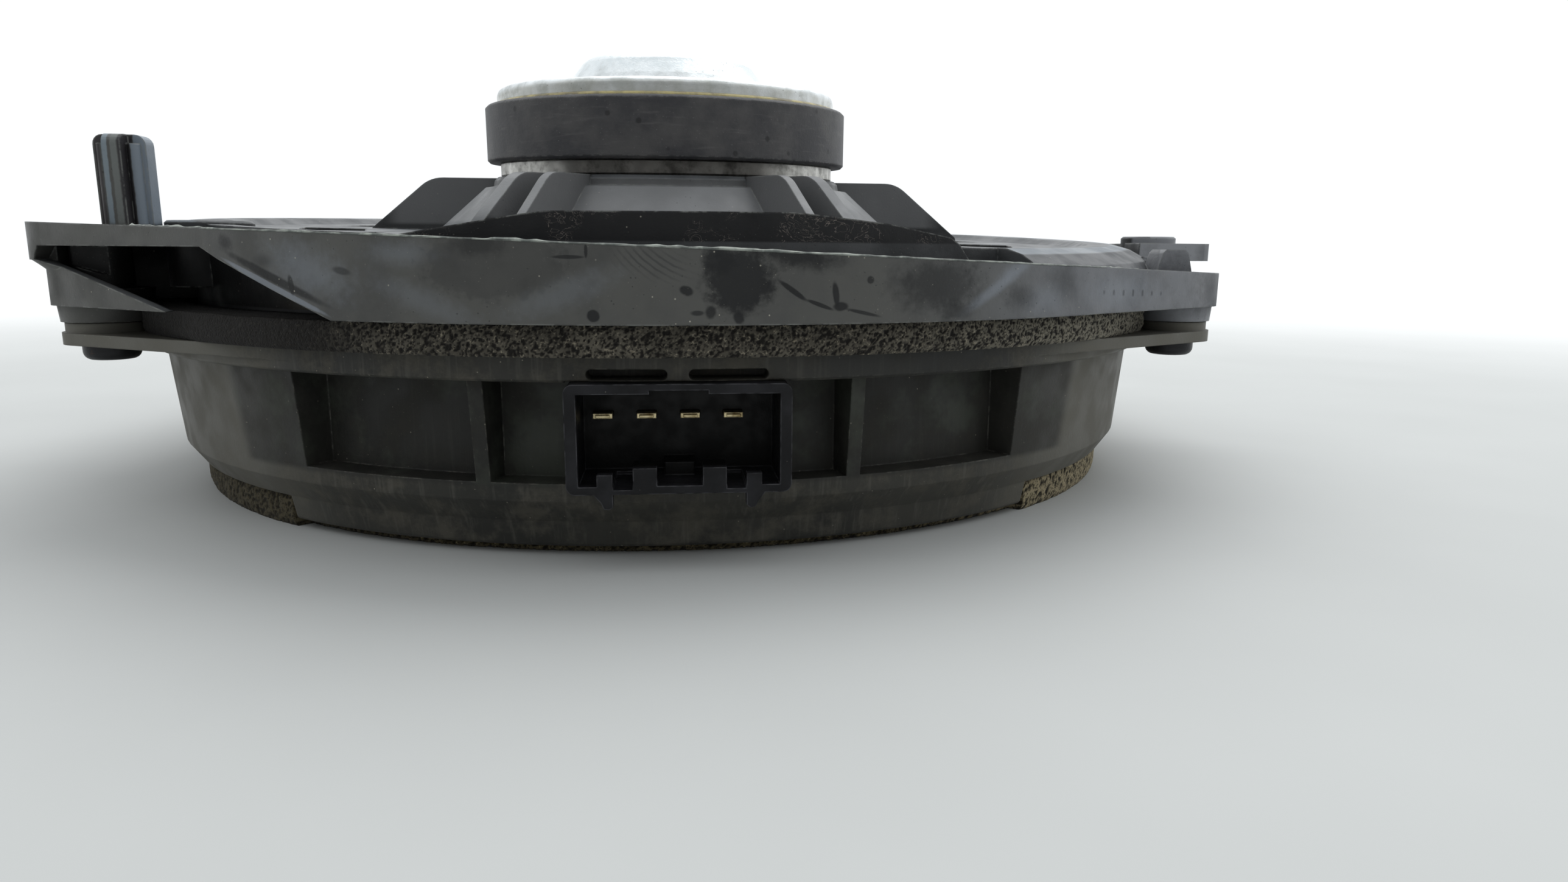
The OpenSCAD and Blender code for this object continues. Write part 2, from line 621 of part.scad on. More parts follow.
// Solder round each terminal tail
module solder_joints() color([0.8, 0.8, 0.82]) for (i = [1:4]) translate([blade_x(i), tail_y, 0]) difference() {
    translate([0, 0, tag_z + 0.5]) cylinder(r1 = 1.2, r2 = 0.9, h = 0.7, $fn = 32);
    translate([-0.6, -blade_t / 2, 30]) cube([1.2, blade_t, 10]);
}

// Route of a braided lead from its tag, through the window in the deck, to the cone
function lead_route(side) = [for (p = [
    [-5.2, -66.6, 37.7], [-5.1, -65, 38.3], [-5, -63, 39], [-5, -61, 39.2], [-5, -59, 38.7], [-5, -57.4, 37.4],
    [-5.1, -56, 35.6], [-5.2, -54.2, 33.8], [-5.4, -51.5, 33], [-5.6, -47, 32.8], [-5.8, -43, 33.2], [-6, -39, 33.8],
    [-6.2, -35.5, 34.1], [-6.4, -32.6, 33.7]]) [(side > 0 ? -0.6 - p[0] : p[0]), p[1], p[2]]];

// Sweeps a round section along a route that runs mostly in a plane of constant X
module tube(route, r, sides) {
    n = len(route);
    function dir(i) = let (d = route[min(i + 1, n - 1)] - route[max(i - 1, 0)]) d / norm(d);
    points = [for (i = [0:n - 1]) let (d = dir(i), across = [1, 0, 0], up = cross(across, d) / norm(cross(across, d)))
        for (k = [0:sides - 1]) route[i] + r * (across * cos(360 * k / sides) + up * sin(360 * k / sides))];
    faces = concat(
        [[for (k = [sides - 1:-1:0]) k]],
        [for (i = [0:n - 2]) for (k = [0:sides - 1])
            [i * sides + k, i * sides + (k + 1) % sides, (i + 1) * sides + (k + 1) % sides, (i + 1) * sides + k]],
        [[for (k = [0:sides - 1]) (n - 1) * sides + k]]);
    polyhedron(points, faces, convexity = 4);
}

module tinsel_lead(side) color([0.72, 0.5, 0.32]) tube(lead_route(side), 0.55, 8);

spacer_ring();
front_seal();
flange_gasket();
connector_housing();
terminal(1);  // terminal_1
terminal(2);  // terminal_2
terminal(3);  // terminal_3
terminal(4);  // terminal_4
basket();
joining_screws();
top_plate();
landing_rivets();
magnet();
yoke();
glue_bead();
surround_ring();
surround();
spider();
cone();
dust_cap();
coil_former();
voice_coil();
tag_board();
tag_rivets();
solder_tag(-1);  // solder_tag_left
solder_tag(1);  // solder_tag_right
solder_joints();
tinsel_lead(-1);  // tinsel_lead_left
tinsel_lead(1);  // tinsel_lead_right
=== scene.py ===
import math

import bmesh
import bpy
import numpy as np
from mathutils import Matrix, Vector


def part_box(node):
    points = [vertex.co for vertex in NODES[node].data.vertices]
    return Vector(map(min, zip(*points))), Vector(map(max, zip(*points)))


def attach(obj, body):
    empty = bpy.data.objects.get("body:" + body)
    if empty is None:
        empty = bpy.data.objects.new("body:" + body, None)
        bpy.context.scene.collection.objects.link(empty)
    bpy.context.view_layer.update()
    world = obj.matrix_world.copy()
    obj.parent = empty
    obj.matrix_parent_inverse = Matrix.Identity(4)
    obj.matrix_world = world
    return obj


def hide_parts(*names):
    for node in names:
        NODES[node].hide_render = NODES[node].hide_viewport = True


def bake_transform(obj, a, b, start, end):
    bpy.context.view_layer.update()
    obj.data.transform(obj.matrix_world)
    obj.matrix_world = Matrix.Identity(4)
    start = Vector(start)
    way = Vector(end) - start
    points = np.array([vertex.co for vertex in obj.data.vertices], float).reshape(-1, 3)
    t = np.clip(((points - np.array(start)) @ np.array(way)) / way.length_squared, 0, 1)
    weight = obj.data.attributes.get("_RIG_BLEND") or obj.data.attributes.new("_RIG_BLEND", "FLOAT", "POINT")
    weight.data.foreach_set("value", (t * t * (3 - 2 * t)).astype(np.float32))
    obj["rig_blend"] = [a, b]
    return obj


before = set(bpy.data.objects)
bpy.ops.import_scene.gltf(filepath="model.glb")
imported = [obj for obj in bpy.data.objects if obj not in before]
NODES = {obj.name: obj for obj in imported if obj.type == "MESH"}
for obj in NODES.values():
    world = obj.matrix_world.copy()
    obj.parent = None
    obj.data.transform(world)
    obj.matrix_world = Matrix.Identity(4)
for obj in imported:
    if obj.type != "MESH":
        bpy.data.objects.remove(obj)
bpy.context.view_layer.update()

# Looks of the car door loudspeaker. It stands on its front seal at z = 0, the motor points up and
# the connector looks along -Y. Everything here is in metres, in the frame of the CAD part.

MM = 0.001

LEAN = math.radians(2)                 # the motor's axis leans back from the ring's axis
PIVOT = Vector((0, 0, 55 * MM))        # where the two axes cross
LEANING = Matrix.Translation(PIVOT) @ Matrix.Rotation(LEAN, 4, "X") @ Matrix.Translation(-PIVOT)

SKIRT_R = 88 * MM                      # the flange's skirt
RING_R = 82 * MM                       # the spacer ring
MAGNET_R = 32 * MM
ROLL_MIDDLE_R = 62.7 * MM              # the surround's half roll
EAR_R = 89.1 * MM                      # the four ears, from the ring's axis
EAR_ANGLES = [58, 122, 238, 302]       # degrees away from the connector
EAR_GAP_R = 7 * MM                     # the gasket keeps this far from an ear's screw


# ---- node trees ----

class Finish:
    """A material's node tree. Each method adds nodes and returns the socket that carries the result."""

    def __init__(self, name):
        self.material = bpy.data.materials.new(name)
        self.material.use_nodes = True
        self.tree = self.material.node_tree
        self.tree.nodes.clear()
        place = self.add("ShaderNodeTexCoord")
        self.place = place.outputs["Object"]
        self.facing = self.add("ShaderNodeNewGeometry").outputs["Normal"]
        self.bsdf = self.add("ShaderNodeBsdfPrincipled")
        output = self.add("ShaderNodeOutputMaterial")
        self.tree.links.new(self.bsdf.outputs[0], output.inputs["Surface"])

    def add(self, kind, **settings):
        node = self.tree.nodes.new(kind)
        for key, value in settings.items():
            setattr(node, key, value)
        return node

    def feed(self, socket, value):
        if isinstance(value, bpy.types.NodeSocket):
            self.tree.links.new(value, socket)
        elif hasattr(value, "__len__") and len(value) == 3 and socket.type == "RGBA":
            socket.default_value = (*value, 1)
        else:
            socket.default_value = value

    def set(self, **inputs):
        """Sets the shader's own sockets, such as Base_Color or Roughness."""
        for key, value in inputs.items():
            self.feed(self.bsdf.inputs[key.replace("_", " ")], value)
        return self

    def math(self, operation, a, b=0.0):
        node = self.add("ShaderNodeMath", operation=operation)
        self.feed(node.inputs[0], a)
        self.feed(node.inputs[1], b)
        return node.outputs[0]

    def both(self, *shares):
        """The product of several shares."""
        result = shares[0]
        for share in shares[1:]:
            result = self.math("MULTIPLY", result, share)
        return result

    def split(self, vector):
        node = self.add("ShaderNodeSeparateXYZ")
        self.feed(node.inputs[0], vector)
        return node.outputs[0], node.outputs[1], node.outputs[2]

    def join(self, x, y, z):
        node = self.add("ShaderNodeCombineXYZ")
        for socket, value in zip(node.inputs, (x, y, z)):
            self.feed(socket, value)
        return node.outputs[0]

    def length(self, vector):
        node = self.add("ShaderNodeVectorMath", operation="LENGTH")
        self.feed(node.inputs[0], vector)
        return node.outputs["Value"]

    def stretch(self, vector, scale=(1, 1, 1), move=(0, 0, 0), turn=(0, 0, 0)):
        node = self.add("ShaderNodeMapping")
        self.feed(node.inputs["Vector"], vector)
        node.inputs["Scale"].default_value = scale
        node.inputs["Location"].default_value = move
        node.inputs["Rotation"].default_value = turn
        return node.outputs[0]

    def around(self, radius):
        """The place as length round the ring at this radius, distance from the axis, and height."""
        x, y, z = self.split(self.place)
        angle = self.math("ARCTAN2", x, self.math("MULTIPLY", y, -1.0))
        out = self.math("SQRT", self.math("ADD", self.math("MULTIPLY", x, x), self.math("MULTIPLY", y, y)))
        return self.join(self.math("MULTIPLY", angle, radius), out, z)

    def noise(self, size, detail=3.0, rough=0.5, vector=None, distort=0.0):
        """Soft noise from 0 to 1; size is a blotch's width in metres, or 1 on a stretched vector."""
        node = self.add("ShaderNodeTexNoise")
        self.feed(node.inputs["Vector"], vector or self.place)
        node.inputs["Scale"].default_value = 1 / size
        node.inputs["Detail"].default_value = detail
        node.inputs["Roughness"].default_value = rough
        node.inputs["Distortion"].default_value = distort
        return node.outputs["Fac"]

    def clouds(self, size, low, high, detail=3, rough=0.5, least=0.0, most=1.0):
        """Blotches about size mm wide, from least to most as the noise goes from low to high."""
        return self.step(self.noise(size * MM, detail, rough), low, high, least, most)

    def cells(self, size, feature="F1", vector=None):
        """Distance to the nearest point of a scatter, or to a cell's edge, in cell widths."""
        node = self.add("ShaderNodeTexVoronoi", feature=feature)
        self.feed(node.inputs["Vector"], vector or self.place)
        node.inputs["Scale"].default_value = 1 / size
        return node.outputs["Distance"]

    def step(self, value, low, high, to_low=0.0, to_high=1.0):
        """Goes smoothly from to_low to to_high as value goes from low to high."""
        node = self.add("ShaderNodeMapRange", interpolation_type="SMOOTHSTEP")
        if low > high:
            low, high, to_low, to_high = high, low, to_high, to_low
        self.feed(node.inputs["Value"], value)
        node.inputs["From Min"].default_value = low
        node.inputs["From Max"].default_value = high
        node.inputs["To Min"].default_value = to_low
        node.inputs["To Max"].default_value = to_high
        return node.outputs[0]

    def ribs(self, value, pitch):
        """Goes from 0 to 1 and back over every pitch."""
        return self.math("ABSOLUTE", self.math("SINE", self.math("MULTIPLY", value, math.pi / pitch)))

    def within(self, value, rise, fall):
        """1 between two soft limits, each a pair of lengths in mm, and 0 outside them."""
        inside = self.step(value, rise[0] * MM, rise[1] * MM)
        return self.both(inside, self.step(value, fall[1] * MM, fall[0] * MM))

    def mix(self, share, a, b):
        """Colour a where share is 0 and b where it is 1."""
        node = self.add("ShaderNodeMix", data_type="RGBA", clamp_factor=True)
        self.feed(node.inputs[0], share)
        self.feed(node.inputs[6], a)
        self.feed(node.inputs[7], b)
        return node.outputs[2]

    def lay(self, tone, color, *shares):
        """A tone with a colour laid over it; the product of the shares says how much."""
        return self.mix(self.both(*shares), tone, color)

    def spot(self, centre, half, soft):
        """1 at a place on the object that fades to 0 at an ellipsoid; centre and half sizes in mm."""
        move = self.stretch(self.place, move=tuple(-c * MM for c in centre))
        unit = self.stretch(move, scale=tuple(1 / (h * MM) for h in half))
        return self.step(self.length(unit), 1.0, 1.0 - soft)

    def patch(self, plane, centre, half, angle, soft, wave):
        """1 at a place on a flat map that fades to 0 at an ellipse; centre and half sizes in mm.
        The ellipse is turned by angle in degrees, and wave roughens its edge."""
        move = self.stretch(plane, move=(-centre[0] * MM, -centre[1] * MM, 0))
        turned_back = self.stretch(move, turn=(0, 0, -math.radians(angle)))
        unit = self.stretch(turned_back, scale=(1 / (half[0] * MM), 1 / (half[1] * MM), 0))
        return self.step(self.math("ADD", self.length(unit), wave), 1.0, 1.0 - soft)

    def specks(self, size, share, vector=None):
        """Scattered round specks; share is the part of each cell's width that a speck takes."""
        return self.step(self.cells(size, vector=vector), share / 2, share / 4)

    def bump(self, height, depth, normal=None):
        """A relief; depth is in metres."""
        node = self.add("ShaderNodeBump")
        node.inputs["Distance"].default_value = depth
        node.inputs["Strength"].default_value = 1.0
        self.feed(node.inputs["Height"], height)
        if normal is not None:
            self.feed(node.inputs["Normal"], normal)
        return node.outputs[0]

    def soft_edges(self, radius):
        """The normal as if the mesh's edges were rounded."""
        node = self.add("ShaderNodeBevel", samples=6)
        node.inputs["Radius"].default_value = radius
        return node.outputs[0]

    def edges(self, rounded):
        """1 along the edges of the mesh and 0 on its faces, from a normal made by soft_edges."""
        node = self.add("ShaderNodeVectorMath", operation="DOT_PRODUCT")
        self.feed(node.inputs[0], self.facing)
        self.feed(node.inputs[1], rounded)
        return self.step(node.outputs["Value"], 0.99, 0.9)

    def value(self, name):
        """A number that the mesh carries on its points."""
        return self.add("ShaderNodeAttribute", attribute_name=name).outputs["Fac"]


def srgb(r, g, b):
    """A display colour from 0 to 255 as linear light."""
    shares = (r / 255, g / 255, b / 255)
    return tuple(v / 12.92 if v <= 0.04045 else ((v + 0.055) / 1.055) ** 2.4 for v in shares)


def coat(finish, *nodes):
    """Gives CAD nodes a finish."""
    for node in nodes:
        mesh = NODES[node].data
        mesh.materials.clear()
        mesh.materials.append(finish.material)


# ---- finishes ----

# Marks on the front of the skirt. Each one is its place round the skirt, height, half width,
# half height, turn in degrees, how soft its edge is from 0 to 1, and how strong it is from 0 to 1.
# All lengths are in mm, and the place counts from above the connector towards the right.
DARK_MARKS = [
    # smears and short strokes left of the middle
    (-19.3, 35.9, 4.4, 1.7, 0, 0.8, 0.6),
    (-18.2, 34, 8.5, 4.2, 0, 0.25, 0.3),
    (-10.2, 34.75, 2, 0.24, 0, 0.4, 0.8),
    (-8.35, 35.4, 0.22, 0.9, 0, 0.4, 0.8),
    (-7.8, 28.8, 0.75, 0.75, 0, 0.3, 0.95),
    # the big smear, and the specks round it
    (7.4, 32.4, 4.7, 4.3, 0, 0.45, 0.93),
    (13.5, 35, 7, 1.9, -8, 0.8, 0.9),
    (5.2, 34.6, 2.4, 2, 0, 0.6, 0.9),
    (1.8, 31.4, 0.9, 0.6, -20, 0.4, 0.9),
    (2.9, 29.1, 0.9, 0.35, 0, 0.5, 0.8),
    (4.3, 29.2, 0.7, 0.9, -20, 0.5, 0.85),
    (7.2, 28.6, 0.7, 0.9, 20, 0.5, 0.9),
    # scratches right of it
    (13, 31.4, 2.2, 0.36, -35, 0.4, 0.9),
    (16, 29.9, 1.9, 0.28, -20, 0.4, 0.9),
    (17.8, 31, 0.45, 1.6, 8, 0.4, 0.9),
    (18.4, 29.7, 1, 0.6, 0, 0.4, 0.9),
    (21, 29, 2.6, 0.26, -12, 0.5, 0.85),
    (21.8, 32.5, 0.5, 0.5, 0, 0.4, 0.8),
    # soft shadows towards the right ear
    (30.5, 31.9, 8.4, 4.2, 0, 0.75, 0.72),
    (32.7, 29, 3.4, 1.5, 0, 0.7, 0.6),
    (42.7, 30.4, 4, 2.2, 0, 0.9, 0.6),
    (51, 32, 3.2, 4.2, 0, 0.9, 0.4),
    (88, 30.5, 7, 6, 0, 0.7, 0.45),
    # under the left ear's slanting edge
    (-44.8, 32.2, 9.8, 0.65, -21, 0.5, 0.85),
    (-42.2, 31.5, 0.5, 1.3, 10, 0.4, 0.8),
    (-35.3, 33.1, 1.5, 0.5, -10, 0.5, 0.6),
    (-52, 36, 1.6, 1.2, -25, 0.7, 0.8),
    (-46, 34, 2.4, 1.2, 0, 0.9, 0.45),
]
LIGHT_MARKS = [
    (-45.1, 31.3, 9.2, 0.42, -21, 0.3, 0.75),
    (-40, 33.2, 9, 4, -18, 1, 0.42),
    (-28, 35, 6, 2, 0, 1, 0.3),
    (-26, 30.2, 9, 2, -20, 0.9, 0.22),
    (-11, 31, 9, 2.2, 20, 0.9, 0.22),
    (38.2, 31.2, 7, 1, 29, 0.8, 0.6),
    (41.5, 33.4, 5, 1.4, 25, 0.9, 0.5),
    (47, 30, 6, 2.6, 0, 0.9, 0.35),
    (64, 30.5, 12, 3, 0, 0.9, 0.4),
]


def skirt_marks(look, tone, skirt, turn, z):
    """Smears, scratches, a row of dots, fine scuffs and painted soft shadows on the front of the skirt."""
    plane = look.join(turn, z, 0.0)
    ragged = look.math("MULTIPLY", look.math("SUBTRACT", look.noise(1.1 * MM, 4, 0.65), 0.5), 0.9)
    for marks, color in ((LIGHT_MARKS, srgb(124, 130, 138)), (DARK_MARKS, srgb(14, 15, 17))):
        for across, height, half_w, half_h, angle, soft, strength in marks:
            # small marks have a smoother edge
            wave = look.math("MULTIPLY", ragged, min(1.0, min(half_w, half_h) / 1.5))
            mark = look.patch(plane, (across, height), (half_w, half_h), angle, soft, wave)
            tone = look.lay(tone, color, mark, skirt, strength)
    # a row of small dark dots near the right ear
    dots = look.ribs(turn, 2.3 * MM)
    row = look.patch(plane, (66.5, 30.3), (10.5, 0.55), -2, 0.5, look.math("MULTIPLY", ragged, 0.5))
    tone = look.lay(tone, srgb(30, 32, 38), look.step(dots, 0.45, 0.15), row, skirt, 0.6)
    # fine scuffs left of the middle, on arcs round a point above the skirt
    arc_pitch = 0.62 * MM
    reach = look.length(look.stretch(plane, move=(-5 * MM, -43 * MM, 0)))
    wiggle = look.math("ADD", reach, look.math("MULTIPLY", ragged, 0.25 * MM))
    lines = look.math("SINE", look.math("MULTIPLY", wiggle, 2 * math.pi / arc_pitch))
    scuffed = look.patch(plane, (-1.6, 34.2), (5.4, 2.2), -12, 0.8, ragged)
    return look.lay(tone, srgb(34, 35, 37), look.step(lines, 0.1, 0.9), scuffed, skirt, 0.5)


def clean_hood(look, tone, turn, out, z):
    """The hood in front of the tags is clean and black, with some white lint."""
    hood = look.both(look.step(z, 36.3 * MM, 36.6 * MM), look.within(out, (75.5, 75.8), (79.5, 80)),
                     look.within(turn, (-50, -48), (48, 50)))
    tone = look.lay(tone, srgb(7, 7, 9), hood, 0.96)
    fibre = look.noise(1.0, 2, 0.5, look.stretch(look.place, (420, 420, 700)), 3.0)
    thread = look.step(look.math("ABSOLUTE", look.math("SUBTRACT", fibre, 0.5)), 0.012, 0.004)
    areas = look.clouds(7, 0.5, 0.56, 2)
    return look.lay(tone, srgb(150, 140, 132), thread, hood, areas, 0.5)


def hollow_painted_shade_and_light(look, tone, x, y, turn, out, z):
    """Painted shade makes the hollow behind the window, and inside the ear beside it, near black towards its
    left; painted light makes it a lit brown towards its right.
    """
    behind = look.both(look.step(out, 85.9 * MM, 85.6 * MM), look.step(y, -20 * MM, -24 * MM),
                       look.step(turn, -30 * MM, -34 * MM))
    in_ear = look.within(turn, (-126, -122), (-55, -53))
    # the ear's two sides and its tip: the direction each one faces, in degrees, and its distance in mm
    for direction, distance in ((-35, 86.5), (-81, 86.5), (-58, 94.0)):
        across = look.math("MULTIPLY", x, math.sin(math.radians(direction)))
        along = look.math("MULTIPLY", y, -math.cos(math.radians(direction)))
        inside = look.step(look.math("ADD", across, along), distance * MM, (distance - 0.2) * MM)
        in_ear = look.both(in_ear, inside)
    hollow = look.both(look.math("MAXIMUM", behind, in_ear), look.within(z, (27.8, 28.0), (35.4, 35.7)))
    # painted shade, near black, on the left, and a painted lit brown on the right
    shade = look.mix(look.step(turn, -62 * MM, -52 * MM), srgb(12, 12, 13), srgb(66, 62, 54))
    return look.lay(tone, shade, hollow, 0.94)


def top_tones(look, tone, cloud, turn, out, z):
    """A dark slope outside the ridge, a painted highlight along the ridge, a grey deck, and painted light on the
    spider housing and its fins.
    """
    up = look.split(look.facing)[2]
    level = look.step(up, 0.6, 0.8)
    slope = look.both(look.within(out, (81.2, 81.8), (86.8, 87.0)), look.step(up, 0.2, 0.4),
                      look.step(turn, 44 * MM, 48 * MM))
    tone = look.lay(tone, srgb(50, 52, 55), slope, 0.75)
    # painted highlight along the crest of the ridge, on faces that look up
    tone = look.lay(tone, srgb(122, 130, 137), look.within(out, (78.4, 79.2), (81.0, 81.6)), level, 0.6)
    tone = look.lay(tone, srgb(72, 74, 76), look.within(out, (52, 56), (77, 78)), level,
                    look.step(cloud, 0.3, 0.6, 0.4, 0.8))
    # painted light on the spider housing and on the fins of the deck, which lie in shade
    housing = look.both(look.step(z, 39.4 * MM, 40.2 * MM), look.within(out, (30.5, 31.5), (48, 52)))
    return look.lay(tone, srgb(128, 129, 130), housing, 0.6)


# Stripes down the flutes of the locating post: from, to (along X, in mm) and colour.
POST_STRIPES = [
    (-75.4, -74.3, (44, 40, 42)),
    (-74.1, -72.8, (122, 134, 142)),
    (-72.4, -71.6, (104, 108, 106)),
    (-71.5, -70.6, (34, 32, 36)),
    (-70.5, -68.5, (120, 130, 140)),
]


def post_stripes(look, tone, x, z):
    """Light and dark stripes down the flutes of the post."""
    post = look.both(look.spot((-72.3, -45, 46), (7, 7, 9.5), 0.1), look.step(z, 38 * MM, 38.6 * MM))
    ragged = look.math("SUBTRACT", look.noise(1.1 * MM, 4, 0.65), 0.5)
    side = look.math("ADD", x, look.math("MULTIPLY", ragged, 0.27 * MM))
    for low, high, color in POST_STRIPES:
        band = look.within(side, (low - 0.1, low + 0.1), (high - 0.1, high + 0.1))
        tone = look.lay(tone, srgb(*color), band, post, 0.85)
    return tone


def basket_finish():
    """Black moulding with blue-grey dust, scuffs and smears, edges that are rubbed and carry a painted
    highlight, and painted shade, shadows and highlights in places.
    """
    look = Finish("basket_plastic")
    turn, out, z = look.split(look.around(SKIRT_R))
    x, y = look.split(look.place)[:2]
    up = look.split(look.facing)[2]
    rounded = look.soft_edges(0.35 * MM)
    cloud = look.noise(7 * MM, 5, 0.6)
    tone = look.mix(look.clouds(30, 0.38, 0.62, 3, 0.55), srgb(44, 45, 46), srgb(60, 61, 62))
    tone = look.lay(tone, srgb(82, 83, 84), look.step(cloud, 0.45, 0.72, 0.0, 0.5))
    # the outside of the skirt is dusty, and more so on its right
    skirt = look.both(look.step(out, 83.9 * MM, 84.4 * MM), look.step(y, 0.0, -1 * MM))
    dusty = look.mix(look.step(turn, 22 * MM, 60 * MM), srgb(80, 80, 77), srgb(108, 110, 114))
    dusty = look.mix(look.step(turn, 68 * MM, 92 * MM), dusty, srgb(130, 132, 136))
    tone = look.lay(tone, dusty, skirt, look.step(cloud, 0.25, 0.6, 0.5, 0.95))
    # so is whatever faces up
    settled = look.step(cloud, 0.3, 0.7, 0.4, 0.85)
    tone = look.lay(tone, srgb(104, 107, 110), look.step(up, 0.25, 0.8), settled)
    tone = skirt_marks(look, tone, skirt, turn, z)
    tone = clean_hood(look, tone, turn, out, z)
    tone = hollow_painted_shade_and_light(look, tone, x, y, turn, out, z)
    tone = top_tones(look, tone, cloud, turn, out, z)
    tone = post_stripes(look, tone, x, z)
    # light lint and dust grains, dark pits, and edges that are worn and carry a painted highlight
    grains = look.both(look.specks(1.5 * MM, 0.15), look.clouds(9, 0.42, 0.62))
    tone = look.lay(tone, srgb(176, 172, 158), grains, 0.75)
    fine = look.both(look.specks(0.5 * MM, 0.24), look.clouds(5, 0.4, 0.65))
    tone = look.lay(tone, srgb(140, 138, 128), fine, 0.4)
    elsewhere = look.stretch(look.place, move=(10 * MM, 20 * MM, 30 * MM))
    pits = look.both(look.specks(0.9 * MM, 0.22, elsewhere), look.step(cloud, 0.4, 0.6))
    tone = look.lay(tone, srgb(26, 26, 28), pits, 0.5)
    worn = look.both(look.edges(rounded), look.clouds(2.2, 0.42, 0.6, 4, 0.7))
    tone = look.lay(tone, srgb(140, 142, 138), worn, 0.7)
    shine = look.clouds(6, 0.35, 0.7, 4, 0.5, 0.42, 0.68)
    relief = look.math("SUBTRACT", look.noise(0.35 * MM, 3, 0.6), look.math("MULTIPLY", pits, 1.5))
    return look.set(Base_Color=tone, Roughness=shine, Normal=look.bump(relief, 0.03 * MM, rounded),
                    Specular_IOR_Level=0.35)


def ring_finish():
    """Dusty brown-black moulding with faint upright drag marks."""
    look = Finish("ring_plastic")
    ring = look.around(RING_R)
    turn = look.split(ring)[0]
    y, z = look.split(look.place)[1:]
    rounded = look.soft_edges(0.3 * MM)
    tone = look.mix(look.clouds(26, 0.38, 0.62), srgb(40, 40, 37), srgb(56, 55, 50))
    tone = look.lay(tone, srgb(80, 77, 69), look.clouds(5, 0.42, 0.68, 5, 0.7, 0.0, 0.7))
    # painted light makes the sides lighter than the front, where the light reaches them more
    side = look.step(look.math("ABSOLUTE", turn), 40 * MM, 62 * MM)
    tone = look.lay(tone, srgb(104, 102, 94), side, 0.7)
    drag = look.noise(1.0, 4, 0.6, look.stretch(ring, (1300, 600, 90)))
    tone = look.lay(tone, srgb(94, 92, 85), look.step(drag, 0.52, 0.7, 0.0, 0.3))
    # painted shade keeps the walls inside the three pockets dark
    inside = look.both(look.within(y, (-80.5, -79.5), (-62, -60)), look.within(z, (8.5, 9.5), (21.2, 21.5)))
    tone = look.lay(tone, srgb(28, 28, 26), inside, 0.75)
    smudge = look.both(inside, look.clouds(9, 0.48, 0.68, 4, 0.65))
    tone = look.lay(tone, srgb(62, 66, 58), smudge, 0.6)
    # the lip above the connector is dark towards the right
    lip = look.both(look.step(z, 21.2 * MM, 21.5 * MM), look.within(turn, (8, 20), (36, 46)))
    tone = look.lay(tone, srgb(32, 33, 32), lip, 0.7)
    grains = look.both(look.specks(1.3 * MM, 0.15), look.clouds(8, 0.42, 0.62))
    tone = look.lay(tone, srgb(164, 158, 142), grains, 0.6)
    fine = look.both(look.specks(0.5 * MM, 0.22), look.clouds(5, 0.42, 0.66))
    tone = look.lay(tone, srgb(120, 116, 106), fine, 0.35)
    # edges that are worn and carry a painted highlight
    worn = look.both(look.edges(rounded), look.clouds(1.8, 0.48, 0.64, 4, 0.7))
    tone = look.lay(tone, srgb(112, 110, 102), worn, 0.55)
    shine = look.clouds(5, 0.35, 0.7, 4, 0.5, 0.5, 0.75)
    relief = look.noise(0.4 * MM, 3, 0.6)
    return look.set(Base_Color=tone, Roughness=shine, Normal=look.bump(relief, 0.03 * MM, rounded),
                    Specular_IOR_Level=0.3)


def foam_finish(name, wall, pore, wall_glint, left, right):
    """Open-cell foam; the mesh carries how deep each point lies in a pore.
    left and right tint the foam on those sides of the object."""
    look = Finish(name)
    x = look.split(look.place)[0]
    depth = look.value("pore")
    cloud = look.noise(4 * MM, 4, 0.6)
    tone = look.mix(look.step(cloud, 0.4, 0.62), wall, tuple(0.7 * c for c in wall))
    clogged = look.step(x, -27 * MM, -42 * MM)
    tone = look.lay(tone, left, clogged, 0.95)
    tone = look.lay(tone, right, look.step(x, 20 * MM, 60 * MM, 0.0, 0.6))
    # painted shade darkens the pores: the deep ones in the mesh, and tiny ones drawn only in the colour
    tone = look.lay(tone, pore, look.step(depth, 0.1, 0.7))
    tiny = look.step(look.cells(0.34 * MM), 0.46, 0.24)
    tone = look.lay(tone, pore, tiny, 0.7)
    # painted highlights glint on the cell walls
    walls = look.step(look.cells(0.34 * MM, "DISTANCE_TO_EDGE"), 0.1, 0.03)
    glint = look.both(walls, look.clouds(0.4, 0.52, 0.66, 2), look.step(depth, 0.5, 0.1),
                      look.step(clogged, 1.0, 0.0, 0.1, 1.0))
    tone = look.lay(tone, wall_glint, glint, 0.8)
    relief = look.math("SUBTRACT", look.noise(0.3 * MM, 3, 0.7), look.math("MULTIPLY", tiny, 0.9))
    return look.set(Base_Color=tone, Roughness=0.92, Normal=look.bump(relief, 0.08 * MM),
                    Specular_IOR_Level=0.15, Sheen_Weight=0.05)


